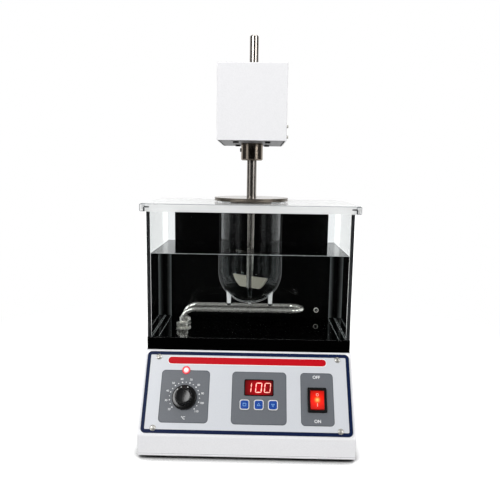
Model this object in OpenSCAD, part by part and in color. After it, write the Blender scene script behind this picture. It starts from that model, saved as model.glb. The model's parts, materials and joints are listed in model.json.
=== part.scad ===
// Dissolution tester: a heated water bath with one glass vessel and an overhead paddle drive.
// X runs to the right, Y to the back, Z up. The origin is on the paddle's axis, on the bench.

/* [Water bath] */
// Outside width of the clear tank
tank_w = 316; // [280:1:360]
// Outside depth of the clear tank
tank_d = 174; // [160:1:210]
// Height of the clear walls above the bath floor
tank_wall_h = 203; // [190:1:240]
// Thickness of the clear walls
wall_t = 6; // [4:0.5:8]
// Height of the black plinth under the clear walls
plinth_h = 20; // [16:1:30]
// Thickness of the plinth's floor, which is the floor of the bath
floor_t = 6; // [4:0.5:8]
// Thickness of the plinth's skirt
plinth_wall_t = 5; // [3:0.5:8]
// Width of the black sheet behind the back wall
back_sheet_w = 282; // [240:1:290]
// Thickness of the black sheet
back_sheet_t = 2; // [1:0.5:3]
// How far the black sheet stops below the top of the walls
back_sheet_drop = 14; // [6:1:30]
// Height of the sheet's lower part, which is nearly as wide as the tank
back_sheet_low_h = 129.5; // [100:0.5:150]
// How far that lower part stays inside the tank's sides
back_sheet_low_in = 2; // [0.5:0.5:10]

/* [Bath lid] */
// Thickness of the lid's plate
lid_t = 5; // [4:0.5:6]
// How far the lid reaches past the tank's walls
lid_overhang = 8.6; // [7.6:0.1:10]
// Thickness of the lid's turned-down skirt
skirt_t = 4.5; // [3:0.1:4.8]
// Full height of the lid with its skirt
lid_h = 12; // [9:0.5:16]
// Corner radius of the lid in plan
lid_corner_r = 14; // [8:0.5:16]

/* [Vessel] */
// Outside radius of the glass vessel
vessel_r = 52; // [49:0.5:54]
// Thickness of the vessel's glass
glass_t = 2; // [1.5:0.1:3]
// Radius of the vessel's flange
flange_r = 57; // [56:0.5:58.5]
// Thickness of the vessel's flange
flange_t = 3.4; // [2.5:0.1:4.5]
// How far the flange stands above the lid
flange_stand = 1.9; // [1:0.1:2.2]
// Radius of the circle on which the vessel's three feet stand
foot_ring_r = 39; // [35:0.5:41]
// Radius of a glass foot at its top
glass_foot_r = 4.2; // [3.4:0.1:5]
// Radius of a glass foot at its tip
glass_tip_r = 3.1; // [2.5:0.1:3.3]
// Height of the rubber cap under a glass foot
foot_cap_h = 4; // [3:0.5:6]
// How far the feet reach below the vessel's round bottom
foot_below = 1.8; // [1:0.1:4]
// Radius of the steel cover on the vessel
cover_r = 60.8; // [59:0.1:64]
// Thickness of the steel cover
cover_t = 5.4; // [4:0.1:7]
// Radius of the cover's plug in the vessel's mouth
plug_r = 34; // [28:1:44]
// Depth of the cover's plug
plug_h = 6; // [4:0.5:10]

/* [Immersion heater] */
// Radius of the heater's sheath
heater_r = 4; // [3:0.5:4.5]
// Height of the heater's level legs above the bath floor
heater_rise = 32.7; // [29:0.1:38]
// Half the distance between the two legs
heater_half = 21; // [18:0.5:26]
// Distance from the spindle axis to the heater's fittings
heater_fitting_x = 110; // [96:1:125]
// Distance from the spindle axis to the end of the U-bend
heater_end_x = 91; // [75:1:110]
// Radius of the bend where a leg turns down to the floor
heater_bend_r = 20; // [16:0.5:22]
// Gap between the heater and the vessel's feet
foot_gap = 3.3; // [1.5:0.1:8]
// Hexagon size of the heater's nuts, across the corners
heater_nut_d = 19; // [16:0.5:22]

/* [Console] */
// How much wider than the tank the console is, at each side
deck_side = 2; // [1:0.5:6]
// Ledge in front of the tank
deck_ledge = 2.4; // [1:0.1:8]
// Space on the deck behind the tank
deck_back = 43; // [40:1:60]
// Height of the console above its base plate's underside
console_h = 138; // [125:1:160]
// Height of the upright lip below the sloping front
lip_h = 32; // [24:1:40]
// Depth taken by the sloping front
slope_run = 68; // [58:1:80]
// Thickness of the painted sheet steel
sheet_t = 2; // [1.2:0.1:2.2]
// Thickness of the base plate
plate_t = 4; // [3:0.5:5]
// Radius of a rubber foot
foot_r = 10; // [8:0.5:12]
// Height of a rubber foot below the base plate
foot_h = 4; // [3:0.5:8]
// Distance from the console's sides to its feet's centres
foot_inset_x = 47; // [36:1:60]
// Distance from the console's front and back to its feet's centres
foot_inset_y = 13; // [12:0.5:30]

/* [Fascia] */
// Margin between the fascia and the edges of the sloping front
fascia_margin = 3; // [2:0.5:5]
// Thickness of the fascia
fascia_t = 1.5; // [1:0.1:2]
// Corner radius of the fascia
fascia_corner_r = 8; // [4:0.5:10]
// Distance from the fascia's sides to its screws
fascia_screw_x = 19.4; // [15:0.1:21]
// Distance from the fascia's top and bottom to its screws
fascia_screw_y = 7.6; // [7:0.1:9]
// Height of the controls' middle line above the fascia's bottom edge
control_y = 51.4; // [49:0.1:55]
// Distance from the console's left side to the temperature dial
dial_inset = 65.7; // [58:0.1:72]
// Distance from the console's right side to the mains switch
rocker_inset = 55.5; // [48:0.1:62]
// Offset of the display from the middle of the console
display_x = 17.3; // [10:0.1:24]

/* [Controls] */
// Radius of the temperature knob's skirt
knob_r = 18.5; // [17:0.1:20]
// Height of the temperature knob
knob_h = 18; // [15:0.5:22]
// Radius of the knob's grip
knob_grip_r = 14.4; // [13:0.1:15]
// Radius of the thermostat's shaft
thermostat_shaft_r = 3; // [2.5:0.1:3.4]
// Distance from the dial's centre up to the lamp
lamp_rise = 40.7; // [39.5:0.1:43]
// Radius of the lamp's bezel
lamp_r = 6.4; // [5.8:0.1:7]
// Width of the display window
window_w = 43.7; // [40:0.1:46]
// Height of the display window
window_h = 23.3; // [21:0.1:24.5]
// Distance from the controls' middle line up to the window's centre
window_rise = 16.5; // [16:0.1:20]
// Distance from the controls' middle line down to the keys
key_drop = 8.6; // [8.2:0.1:10]
// Side length of a key
key_w = 14.5; // [13:0.1:15.5]
// Distance between the keys
key_pitch = 21.2; // [20.8:0.1:22]
// Travel of a key
key_travel = 1; // [0.6:0.1:1.2]
// Width of the mains switch's bezel
switch_w = 29.1; // [28:0.1:31]
// Height of the mains switch's bezel
switch_h = 36.6; // [35.5:0.1:39]
// Width of the mains switch's rocker
rocker_w = 20.1; // [18:0.1:21]
// Swing of the rocker from on to off, in degrees
rocker_swing = 14; // [8:1:16]

/* [Drive head] */
// Distance from the lid up to the drive head
head_gap = 95; // [90:1:120]
// Width of the drive head
head_w = 104; // [98:1:120]
// Height of the drive head
head_h = 111.5; // [108:0.5:130]
// Distance from the spindle axis to the head's front
head_front = 79.4; // [72:0.1:90]
// Distance from the spindle axis to the head's back
head_back = 73.4; // [73:0.1:78]
// Thickness of the head's cover
head_sheet_t = 1.5; // [1:0.1:2]
// Thickness of the head's frame plate
frame_t = 3; // [2:0.5:4]
// Shadow gap between the frame plate and the cover
frame_gap = 2; // [1.5:0.1:3]
// Radius of the driven shaft
shaft_r = 8.5; // [8:0.1:9]
// Radius of the drive collar
collar_r = 18; // [16:0.5:20]
// Length of the drive collar below the head
collar_drop = 27.6; // [24:0.1:36]
// Outside radius of a ball bearing
bearing_r = 17.5; // [16:0.5:18.5]
// Width of a ball bearing
bearing_h = 10; // [8:0.5:12]
// Pitch radius of the spindle's belt pulley
spindle_pulley_r = 18; // [16:0.1:19]
// Pitch radius of the motor's belt pulley
motor_pulley_r = 10.2; // [8:0.1:11]
// Radius of the gear motor
motor_r = 20.5; // [18:0.5:21]
// Length of the gear motor
motor_h = 58; // [50:1:60]
// Distance from the spindle axis to the motor's axis
motor_y = 47; // [46.5:0.1:47.5]

/* [Spindle and paddle] */
// Radius of the spindle above the vessel
spindle_r = 7.9; // [7:0.1:7.9]
// Radius of the paddle's rod
rod_r = 6.1; // [4.8:0.1:6.5]
// Gap between the paddle and the bottom of the vessel
paddle_gap = 23.7; // [20:0.1:30]
// Full width of the paddle's blade
blade_w = 74.5; // [70:0.1:78]
// Width of the blade's straight bottom edge
blade_foot_w = 42; // [36:0.5:46]
// Height of the paddle's blade
blade_h = 19; // [17:0.5:21]
// Thickness of the paddle's blade
blade_t = 4; // [3:0.5:5]
// Angle at which the blade rests about the spindle axis
blade_turn = -42; // [-180:1:180]

/* [Support post] */
// Radius of the support post
post_r = 8; // [6:0.5:9]
// Gap between the lid and the post
post_gap = 2.4; // [1:0.1:6]
// Height of the post above the drive head
post_proud = 84; // [81:1:120]
// Length of the post's top end above its ring groove
post_grip_l = 76; // [50:1:76]
// Width of the post clamp
clamp_w = 40; // [32:1:48]
// Height of the post clamp
clamp_h = 50; // [40:1:60]
// Height of the post clamp above the head's underside
clamp_rise = 25; // [20:1:40]

/* [Drain] */
// Distance from the spindle axis to the drain
drain_x = 118.3; // [108:0.1:124]
// Height of the drain above the bath floor
drain_rise = 15; // [13:0.5:18]
// Radius of the drain's waterway
drain_bore_r = 1.9; // [1.5:0.1:2.2]
// Radius of the hose barb
barb_r = 4; // [3.6:0.1:4.6]
// Length of the hose barb
barb_l = 18; // [14:1:24]

/* [Clearances] */
// Gap under a part that is lifted off
seat_gap = 0.1; // [0.05:0.05:0.3]
// Radial clearance of a shaft that turns in its bearing
running_gap = 0.05; // [0.02:0.01:0.08]
// Gap around a key, a window or a rocker
edge_gap = 0.3; // [0.2:0.05:0.5]
// Clearance of a screw or a fitting in its hole
hole_gap = 0.1; // [0.05:0.05:0.3]

/* [Hidden] */
// A circle's smoothness, and that of small holes
fine = 96;
small = 48;
// How far a cut runs past the face that it opens
past = 1;

// Levels, from the bench up
z_plate = foot_h;
z_shell = z_plate + plate_t;
z_lip = z_plate + lip_h;
z_deck = z_plate + console_h;
z_floor = z_deck + plinth_h;
z_rim = z_floor + tank_wall_h;
z_lid = z_rim + seat_gap;
z_lid_top = z_lid + lid_t;
z_flange_top = z_lid_top + flange_stand;
z_flange = z_flange_top - flange_t;
z_cover = z_flange_top + seat_gap;
z_head = z_lid_top + head_gap;
z_frame_top = z_head + frame_t;
z_collar = z_head - collar_drop;
z_heater = z_floor + heater_rise;
z_foot_tip = z_heater + heater_r + foot_gap;
z_vessel = z_foot_tip + foot_below;
z_ball = z_vessel + vessel_r;
z_paddle = z_vessel + glass_t + paddle_gap;
z_drain = z_floor + drain_rise;
z_clamp = z_head + clamp_rise;
z_post_top = z_head + head_h + post_proud;

// Console, seen from the side
console_w = tank_w + 2 * deck_side;
front_y = -(tank_d / 2 + deck_ledge + slope_run);
slope_top_y = front_y + slope_run;
back_y = tank_d / 2 + deck_back;
slope_rise = z_deck - z_lip;
slope_l = norm([slope_run, slope_rise]);
slope_angle = atan2(slope_rise, slope_run);

// Fascia
fascia_w = console_w - 2 * fascia_margin;
fascia_h = slope_l - 2 * fascia_margin;
dial_x = -console_w / 2 + dial_inset;
rocker_x = console_w / 2 - rocker_inset;
control_s = fascia_margin + control_y;
lamp_s = control_s + lamp_rise;
window_s = control_s + window_rise;
key_s = control_s - key_drop;
screw_x = fascia_w / 2 - fascia_screw_x;
screw_s = [fascia_margin + fascia_screw_y, slope_l - fascia_margin - fascia_screw_y];
fascia_screw_r = 4.4;
fascia_shank_r = 1.6;

// Thermostat and its knob
bushing_r = thermostat_shaft_r + 2;
bushing_proud = fascia_t + 3;
knob_seat = fascia_t + 0.4;
knob_skirt_h = 4;
knob_recess_r = bushing_r + 4.5;
knob_recess_h = 4;
nut_h = 2.4;
shaft_tip = knob_seat + knob_h - 3;
shaft_tail = -14;
thermostat_box = [46, 40, 28];
dial_start = -135;
dial_sweep = 270;
dial_low = 20;
dial_high = 110;
dial_rest = 37;
knob_turn = dial_start + dial_sweep * (dial_rest - dial_low) / (dial_high - dial_low);

// Lamp
lamp_body_r = lamp_r - 1.4;
lamp_lens_r = lamp_r - 2;
lamp_bezel_h = 1.6;
lamp_body_l = 14;
lamp_recess = 2;

// Display
window_t = fascia_t + 0.2;
window_lip = 1;
display_gap = 0.4;
display_depth = 9.4;
display_board = [window_w + 14, window_h + 8, 1.6];
standoff_r = 3;

// Keys
key_proud = fascia_t + 1.6;
key_flange = 1.2;
key_flange_t = 1.3;
key_under = -(sheet_t + edge_gap + key_flange_t);
key_corner_r = 3.5;
switch_top = key_under - key_travel - edge_gap;
tact_h = 3.5;
board_t = 1.6;
keypad_n = switch_top - tact_h - board_t;
key_x = [display_x - key_pitch, display_x, display_x + key_pitch];

// Mains switch
bezel_t = 2;
rocker_axis_n = 0.5;
rocker_end_r = 14;
rocker_top_mid = 4.4;
rocker_top_end = 6.3;
rocker_under = -5;
trunnion_r = 1.6;
trunnion_l = 1.5;
switch_wall = 2;
switch_depth = 22;
cavity_depth = rocker_end_r + 1;
blade_size = [0.8, 6.3, 8];

// Console fasteners and insides
block_w = 14;
block_h = 12;
plate_screw_r = 2;
plate_head_r = 3.6;
plate_head_h = 1.6;
plate_screw_l = 13;
inlet_x = -110;
inlet_z = 62;
inlet_w = 27.6;
inlet_h = 20;
inlet_depth = 22;
inlet_cavity = [24.6, 16.6, 16];
inlet_flange = [50, 28, 2.5];
fuse_x = -62;
fuse_r = 6.3;
fuse_cap_r = 8;
gland_x = 40;
gland_z = 110;
gland_r = 6.5;
gland_hole_r = 2.4;
gland_h = 9;
vent_n = 9;
vent_pitch = 8;
vent_w = 3;
vent_h = 34;
vent_x = 100;
vent_z = 66;
board_size = [120, 74, 1.6];
board_at = [-62, back_y - 72];
board_z = z_shell + 8;
transformer_at = [88, back_y - 74];
transformer_size = [66, 54, 52];
wire_hole_r = 8;

// Heater fittings
sleeve_r = heater_r + 2;
washer_r = heater_nut_d / 2 + 0.8;
washer_h = 2;
nut_z = 4.5;
heater_nut_h = 6;
heater_tail = floor_t + 6;
gland_nose_h = 2;

// Drain
drain_shank_r = drain_bore_r + 1.1;
drain_flange_r = drain_shank_r + 1.2;
drain_flange_t = 2;
drain_nut_d = 15;
drain_nut_h = 4;
valve_r = 7.5;
valve_l = 18;
valve_gap = 1;
stem_r = drain_bore_r + 1.2;
stem_low = drain_bore_r + 1.5;
stem_boss_r = stem_r + 2;
stem_boss_h = 4;
lever_l = 26;
lever_w = 7;
lever_t = 3;

// Lid and vessel
post_y = tank_d / 2 + lid_overhang + post_gap + post_r;
lid_w = tank_w + 2 * lid_overhang;
lid_d = tank_d + 2 * lid_overhang;
lid_hole_r = vessel_r + 0.5;
recess_r = flange_r + 0.4;
pip_r = 3;
pip_h = 2.5;
cover_hole_r = spindle_r + 1.4;
groove_h = 0.9;
groove_depth = 0.8;
cover_edge_h = (cover_t - groove_h) / 2;
foot_angles = [-30, 90, 210];

// Drive head
bearing_flange = [62, 108, 6];
bearing_flange_y = -4;
bearing_boss_r = bearing_r + 4;
bearing_boss_h = 42;
frame_screw_x = 24.5;
frame_screw_y = [-50, 42];
frame_screw_r = 2.5;
frame_head_r = 4.4;
frame_head_h = 2.6;
frame_screw_l = frame_t + 5;
frame_hole_r = shaft_r + 1;
upstand_h = 78;
upstand_t = 3;
frame_d = head_front + head_back - 2 * head_sheet_t - 1;
frame_w = head_w - 2 * head_sheet_t - 2 * frame_gap;
tab_w = 12;
tab_h = 27;
tab_t = 2;
tab_y = -62;
tab_screw_z = [3.4, 19.2];
cover_screw_r = 2;
cover_screw_head_r = 3;
cover_screw_head_h = 3.2;
collar_gap = 0.6;
collar_round = 3;
socket_l = 22.5;
set_screw_r = 3;
set_screw_proud = 1.5;
set_screw_z = z_collar + 16.9;
disc_r = spindle_pulley_r + 3;
disc_t = 1.2;
disc_z = z_frame_top + bearing_flange[2] + bearing_boss_h + 6;
slot_n = 24;
sensor_gap = 1;
pulley_h = 12;
pulley_lip = 1.2;
pulley_flange = 2.4;
pulley_z = disc_z + disc_t + 12;
belt_t = 1.8;
belt_w = 8;
motor_z = z_frame_top + bearing_flange[2];
motor_shaft_r = 3;
motor_shaft_in = 12;
motor_nose_h = 2;
shaft_top = pulley_z + pulley_h + 3;
tooth_n = 30;
tooth_r = 0.9;

// Post and clamp
clamp_back = post_y + post_r + 8;
clamp_pitch_x = 15;
clamp_screw_z = [10, 40];
clamp_screw_r = 2;
clamp_head_r = 3.5;
clamp_head_h = 3;
clamp_screw_l = 14;
lock_r = 4;
lock_gap = 0.3;
lock_knob_r = 12;
lock_knob_h = 14;
lobe_n = 6;
lobe_r = 4.2;
stop_r = 15;
stop_h = 11;
foot_block = [60, 26, 14];
foot_block_screw_x = 22;
foot_block_screw_r = 2.5;
foot_block_head_r = 4.5;
foot_block_head_h = 3;
post_chamfer = 2;
groove_w = 2;
groove_cut = 0.6;
z_grip = z_post_top - post_chamfer - post_grip_l;
head_gland_at = [32, 96];

// Colours
paint = "white";
clear = [0.85, 0.93, 0.95, 0.3];
glass = [0.8, 0.9, 0.92, 0.35];
steel = [0.72, 0.72, 0.70];
dark_steel = [0.35, 0.33, 0.31];
black = [0.05, 0.05, 0.05];

// A rectangle with round corners, centred
module round_rect(w, d, r) {
    square([w - 2 * r, d], center = true);
    square([w, d - 2 * r], center = true);
    for (x = [-1, 1], y = [-1, 1])
        translate([x * (w / 2 - r), y * (d / 2 - r)]) circle(r, $fn = small);
}

// A block that stands on the level z, centred on X and Y
module block_at(size, z) {
    translate([-size[0] / 2, -size[1] / 2, z]) cube(size);
}

// A rod along Y from y0 to y1
module rod_y(r, y0, y1) {
    translate([0, y0, 0]) rotate([-90, 0, 0]) cylinder(r = r, h = y1 - y0, $fn = fine);
}

// A hexagon nut along Z
module hex_nut(d, h) {
    cylinder(d = d, h = h, $fn = 6);
}

// Places things on the sloping front: X along it, Y up the slope, Z out of it
module on_slope() {
    translate([0, front_y, z_lip]) rotate([slope_angle, 0, 0]) children();
}

// The console's side view, thinned by t all round above the bottom z0
function console_outline(t, z0) =
    let (c = slope_run / slope_l, s = slope_rise / slope_l,
         y0 = front_y + t * s, z1 = z_lip - t * c,
         lean = slope_rise / slope_run)
    [[front_y + t, z0],
     [front_y + t, z1 + (front_y + t - y0) * lean],
     [y0 + (z_deck - t - z1) / lean, z_deck - t],
     [back_y - t, z_deck - t],
     [back_y - t, z0]];

module console_solid(t, z0) {
    rotate([90, 0, 90])
        linear_extrude(console_w - 2 * t, center = true) polygon(console_outline(t, z0));
}

// The holes that the controls need, cut through both the shell and the fascia
module control_holes(window_edge, bezel_edge) {
    translate([dial_x, control_s]) circle(bushing_r + hole_gap, $fn = small);
    translate([dial_x, lamp_s]) circle(lamp_body_r + hole_gap, $fn = small);
    translate([display_x, window_s])
        square([window_w + 2 * window_edge, window_h + 2 * window_edge], center = true);
    for (x = key_x)
        translate([x, key_s])
            round_rect(key_w + 2 * edge_gap, key_w + 2 * edge_gap, key_corner_r + edge_gap);
    translate([rocker_x, control_s])
        square([switch_w - 2 * bezel_edge, switch_h - 2 * bezel_edge], center = true);
}

module plate_screw_places() {
    x = console_w / 2 - sheet_t - block_w / 2;
    for (sx = [-1, 1], y = [front_y + sheet_t + block_w / 2, back_y - sheet_t - block_w / 2])
        translate([sx * x, y, 0]) children();
}

// Four feet near the corners and one under the weight of the water
module foot_places() {
    children();
    for (sx = [-1, 1], y = [front_y + foot_inset_y, back_y - foot_inset_y])
        translate([sx * (console_w / 2 - foot_inset_x), y, 0]) children();
}

module deck_holes() {
    for (sy = [-1, 1])
        translate([-heater_fitting_x, sy * heater_half, 0])
            cylinder(r = wire_hole_r, h = z_deck + past, $fn = small);
    for (sx = [-1, 1])
        translate([sx * foot_block_screw_x, post_y, z_lip])
            cylinder(r = foot_block_screw_r, h = z_deck, $fn = small);
}

module base_shell() {
    color(paint) difference() {
        union() {
            difference() {
                console_solid(0, z_shell);
                console_solid(sheet_t, z_shell - past);
            }
            plate_screw_places() block_at([block_w, block_w, block_h], z_shell);
        }
        on_slope() translate([0, 0, -sheet_t - past]) linear_extrude(sheet_t + 2 * past) {
            control_holes(-window_lip, switch_wall);
            for (x = [-screw_x, screw_x], s = screw_s)
                translate([x, s]) circle(fascia_shank_r, $fn = small);
        }
        plate_screw_places()
            translate([0, 0, z_shell - past])
                cylinder(r = plate_screw_r, h = block_h, $fn = small);
        deck_holes();
        translate([inlet_x, 0, inlet_z]) {
            translate([-inlet_w / 2, 0, -inlet_h / 2]) cube([inlet_w, back_y + past, inlet_h]);
        }
        translate([fuse_x, 0, inlet_z]) rod_y(fuse_r, 0, back_y + past);
        translate([gland_x, 0, gland_z]) rod_y(gland_r - 1, 0, back_y + past);
        for (i = [0:vent_n - 1])
            translate([vent_x + (i - (vent_n - 1) / 2) * vent_pitch - vent_w / 2, 0,
                       vent_z - vent_h / 2])
                cube([vent_w, back_y + past, vent_h]);
    }
}

module base_plate() {
    color(paint) difference() {
        translate([0, (front_y + back_y) / 2, 0])
            block_at([console_w, back_y - front_y, plate_t], z_plate);
        plate_screw_places() translate([0, 0, z_plate - past]) {
            cylinder(r = plate_screw_r + hole_gap, h = plate_t + 2 * past, $fn = small);
            cylinder(r = plate_head_r + hole_gap, h = plate_head_h + past, $fn = small);
        }
        foot_places() translate([0, 0, z_plate - past])
            cylinder(r = foot_r / 3, h = plate_t + 2 * past, $fn = small);
    }
}

module plate_screws() {
    color(steel) plate_screw_places() translate([0, 0, z_plate]) {
        cylinder(r = plate_head_r, h = plate_head_h, $fn = small);
        cylinder(r = plate_screw_r, h = plate_screw_l, $fn = small);
    }
}

module rubber_feet() {
    color(black) foot_places() {
        cylinder(r1 = foot_r - 1, r2 = foot_r, h = foot_h, $fn = fine);
        translate([0, 0, foot_h]) cylinder(r = foot_r / 3, h = plate_t, $fn = small);
    }
}

module fascia_plate() {
    color([0.8, 0.82, 0.86]) on_slope() linear_extrude(fascia_t) difference() {
        translate([0, slope_l / 2]) round_rect(fascia_w, fascia_h, fascia_corner_r);
        control_holes(hole_gap, switch_wall);
        for (x = [-screw_x, screw_x], s = screw_s)
            translate([x, s]) circle(fascia_shank_r + hole_gap, $fn = small);
    }
}

module fascia_screws() {
    color(steel) on_slope() for (x = [-screw_x, screw_x], s = screw_s)
        translate([x, s, 0]) {
            translate([0, 0, -6]) cylinder(r = fascia_shank_r, h = 6 + fascia_t, $fn = small);
            intersection() {
                translate([0, 0, fascia_t]) cylinder(r = fascia_screw_r, h = 2.2, $fn = small);
                translate([0, 0, fascia_t - 3.8]) sphere(6, $fn = fine);
            }
        }
}

module on_dial() {
    on_slope() translate([dial_x, control_s, 0]) children();
}

module temperature_knob() {
    color(black) on_dial() difference() {
        union() {
            translate([0, 0, knob_seat])
                cylinder(r1 = knob_r, r2 = knob_r - 0.8, h = knob_skirt_h, $fn = fine);
            translate([0, 0, knob_seat]) difference() {
                cylinder(r1 = knob_grip_r, r2 = knob_grip_r - 1, h = knob_h, $fn = fine);
                for (a = [0:30:330]) rotate(a) translate([knob_grip_r + 1.2, 0, knob_skirt_h])
                    cylinder(r = 2.4, h = knob_h, $fn = small);
            }
        }
        translate([0, 0, knob_seat - past])
            cylinder(r = knob_recess_r, h = knob_recess_h + past, $fn = fine);
        cylinder(r = thermostat_shaft_r, h = shaft_tip, $fn = small);
        rotate(-knob_turn) translate([-0.6, knob_grip_r + 0.6, knob_seat + knob_skirt_h - 0.5])
            cube([1.2, knob_r, 2]);
    }
}

module thermostat_body() {
    nut_d = 2 * bushing_r + 5;
    color(steel) on_dial() difference() {
        union() {
            block_at(thermostat_box, -sheet_t - thermostat_box[2]);
            cylinder(r = bushing_r, h = 2 * bushing_proud, center = true, $fn = small);
        }
        translate([0, 0, shaft_tail])
            cylinder(r = thermostat_shaft_r + running_gap, h = 40, $fn = small);
    }
    color(steel) on_dial() translate([0, 0, fascia_t]) difference() {
        hex_nut(nut_d, nut_h);
        translate([0, 0, -past]) cylinder(r = bushing_r, h = nut_h + 2 * past, $fn = small);
    }
}

module thermostat_shaft() {
    color(steel) on_dial() translate([0, 0, shaft_tail + running_gap])
        cylinder(r = thermostat_shaft_r, h = shaft_tip - shaft_tail - running_gap, $fn = small);
}

module on_lamp() {
    on_slope() translate([dial_x, lamp_s, 0]) children();
}

module lamp_body() {
    color([0.8, 0.1, 0.12]) on_lamp() difference() {
        union() {
            translate([0, 0, -lamp_body_l])
                cylinder(r = lamp_body_r, h = lamp_body_l + fascia_t, $fn = small);
            translate([0, 0, fascia_t])
                cylinder(r1 = lamp_r, r2 = lamp_r - 0.6, h = lamp_bezel_h, $fn = fine);
        }
        translate([0, 0, fascia_t + lamp_bezel_h - lamp_recess])
            cylinder(r = lamp_lens_r, h = lamp_recess + past, $fn = fine);
    }
}

module lamp_lens() {
    seat = fascia_t + lamp_bezel_h - lamp_recess;
    color([1, 0.6, 0.6]) on_lamp() intersection() {
        translate([0, 0, seat]) cylinder(r = lamp_lens_r, h = 5, $fn = fine);
        translate([0, 0, seat - 1.5]) sphere(lamp_lens_r + 1, $fn = fine);
    }
}

module display_window() {
    color([0.45, 0.02, 0.04]) on_slope() translate([display_x, window_s, window_t / 2])
        cube([window_w, window_h, window_t], center = true);
}

module display_module() {
    board_n = -display_depth;
    color([0.1, 0.2, 0.12]) on_slope() translate([display_x, window_s, 0]) {
        block_at(display_board, board_n - display_board[2]);
        block_at([window_w - 2 * window_lip - 2 * edge_gap,
                  window_h - 2 * window_lip - 2 * edge_gap, display_depth - display_gap], board_n);
        for (sx = [-1, 1])
            translate([sx * (display_board[0] / 2 - standoff_r), 0, board_n])
                cylinder(r = standoff_r, h = display_depth - sheet_t, $fn = small);
    }
}

module key_at(i) {
    on_slope() translate([key_x[i], key_s, 0]) {
        translate([0, 0, key_under]) linear_extrude(key_proud - key_under)
            round_rect(key_w, key_w, key_corner_r);
        translate([0, 0, key_under]) linear_extrude(key_flange_t)
            round_rect(key_w + 2 * key_flange, key_w + 2 * key_flange, key_corner_r);
    }
}

module set_key() {
    color([0.08, 0.27, 0.62]) key_at(0);
}

module up_key() {
    color([0.08, 0.27, 0.62]) key_at(1);
}

module down_key() {
    color([0.08, 0.27, 0.62]) key_at(2);
}

module keypad_board() {
    span = 2 * key_pitch + key_w + 16;
    color([0.1, 0.25, 0.14]) on_slope() translate([display_x, key_s, keypad_n]) {
        block_at([span, key_w, board_t], 0);
        for (i = [-1:1]) translate([i * key_pitch, 0, 0]) block_at([6, 6, tact_h], board_t);
        for (sx = [-1, 1])
            translate([sx * (span / 2 - standoff_r), 0, board_t])
                cylinder(r = standoff_r, h = -sheet_t - keypad_n - board_t, $fn = small);
    }
}

module on_rocker() {
    on_slope() translate([rocker_x, control_s, 0]) children();
}

module trunnions(r, l) {
    translate([0, 0, rocker_axis_n]) rotate([0, 90, 0])
        cylinder(r = r, h = rocker_w + 2 * l, center = true, $fn = small);
}

module switch_frame() {
    body_w = switch_w - 2 * switch_wall - 2 * hole_gap;
    body_h = switch_h - 2 * switch_wall - 2 * hole_gap;
    color(black) on_rocker() difference() {
        union() {
            translate([0, 0, fascia_t]) linear_extrude(bezel_t)
                round_rect(switch_w, switch_h, 2.5);
            block_at([body_w, body_h, switch_depth + fascia_t], -switch_depth);
            for (s = [-9, 0, 9])
                translate([0, s, 0]) block_at([blade_size[1], blade_size[0], blade_size[2]],
                                              -switch_depth - blade_size[2]);
        }
        block_at([rocker_w + 2 * edge_gap, 2 * (rocker_end_r + edge_gap),
                  cavity_depth + fascia_t + bezel_t + past], -cavity_depth);
        trunnions(trunnion_r + running_gap, trunnion_l + edge_gap);
    }
}

module switch_rocker() {
    color([0.85, 0.08, 0.05]) on_rocker() translate([0, 0, rocker_axis_n])
        rotate([rocker_swing / 2, 0, 0]) translate([0, 0, -rocker_axis_n]) {
            intersection() {
                rotate([90, 0, 90]) linear_extrude(rocker_w, center = true)
                    polygon([[-rocker_end_r, rocker_top_end], [0, rocker_top_mid],
                             [rocker_end_r, rocker_top_end], [rocker_end_r, rocker_under],
                             [-rocker_end_r, rocker_under]]);
                translate([0, 0, rocker_axis_n]) rotate([0, 90, 0])
                    cylinder(r = rocker_end_r, h = rocker_w + 2, center = true, $fn = fine);
            }
            trunnions(trunnion_r, trunnion_l);
        }
}

module control_board() {
    color([0.1, 0.3, 0.16]) translate([board_at[0], board_at[1], 0]) {
        block_at(board_size, board_z);
        for (x = [-1, 1], y = [-1, 1])
            translate([x * (board_size[0] / 2 - 5), y * (board_size[1] / 2 - 5), z_shell])
                cylinder(r = standoff_r, h = board_z - z_shell, $fn = small);
        translate([-38, -12, board_z + board_size[2]]) cylinder(r = 8, h = 20, $fn = small);
        translate([-18, -14, board_z + board_size[2]]) cylinder(r = 6, h = 16, $fn = small);
        translate([10, 14, 0]) block_at([28, 13, 16], board_z + board_size[2]);
        translate([40, 14, 0]) block_at([20, 18, 12], board_z + board_size[2]);
        translate([18, -16, 0]) block_at([32, 12, 24], board_z + board_size[2]);
    }
}

module transformer() {
    w = transformer_size[0];
    d = transformer_size[1];
    h = transformer_size[2];
    color([0.4, 0.4, 0.42]) translate([transformer_at[0], transformer_at[1], 0]) {
        block_at([w, d * 0.5, h], z_shell);
        block_at([w * 0.62, d, h * 0.66], z_shell + h * 0.17);
        block_at([w + 16, d * 0.4, 2], z_shell);
    }
}

module power_inlet() {
    color(black) translate([inlet_x, back_y, inlet_z]) difference() {
        union() {
            translate([-inlet_flange[0] / 2, 0, -inlet_flange[1] / 2])
                cube([inlet_flange[0], inlet_flange[2], inlet_flange[1]]);
            translate([-inlet_w / 2, -inlet_depth, -inlet_h / 2])
                cube([inlet_w, inlet_depth, inlet_h]);
        }
        difference() {
            translate([-inlet_cavity[0] / 2, inlet_flange[2] - inlet_cavity[2],
                       -inlet_cavity[1] / 2])
                cube([inlet_cavity[0], inlet_cavity[2] + past, inlet_cavity[1]]);
            for (x = [-7, 0, 7])
                translate([x - 1, inlet_flange[2] - inlet_cavity[2], -5.5])
                    cube([2, inlet_cavity[2] - 2, 4]);
        }
    }
}

module fuse_holder() {
    color(black) translate([fuse_x, back_y, inlet_z]) {
        rod_y(fuse_r, -28, 0);
        difference() {
            rod_y(fuse_cap_r, 0, 7);
            translate([-fuse_cap_r, 5.6, -0.8]) cube([2 * fuse_cap_r, 2, 1.6]);
        }
    }
}

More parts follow.
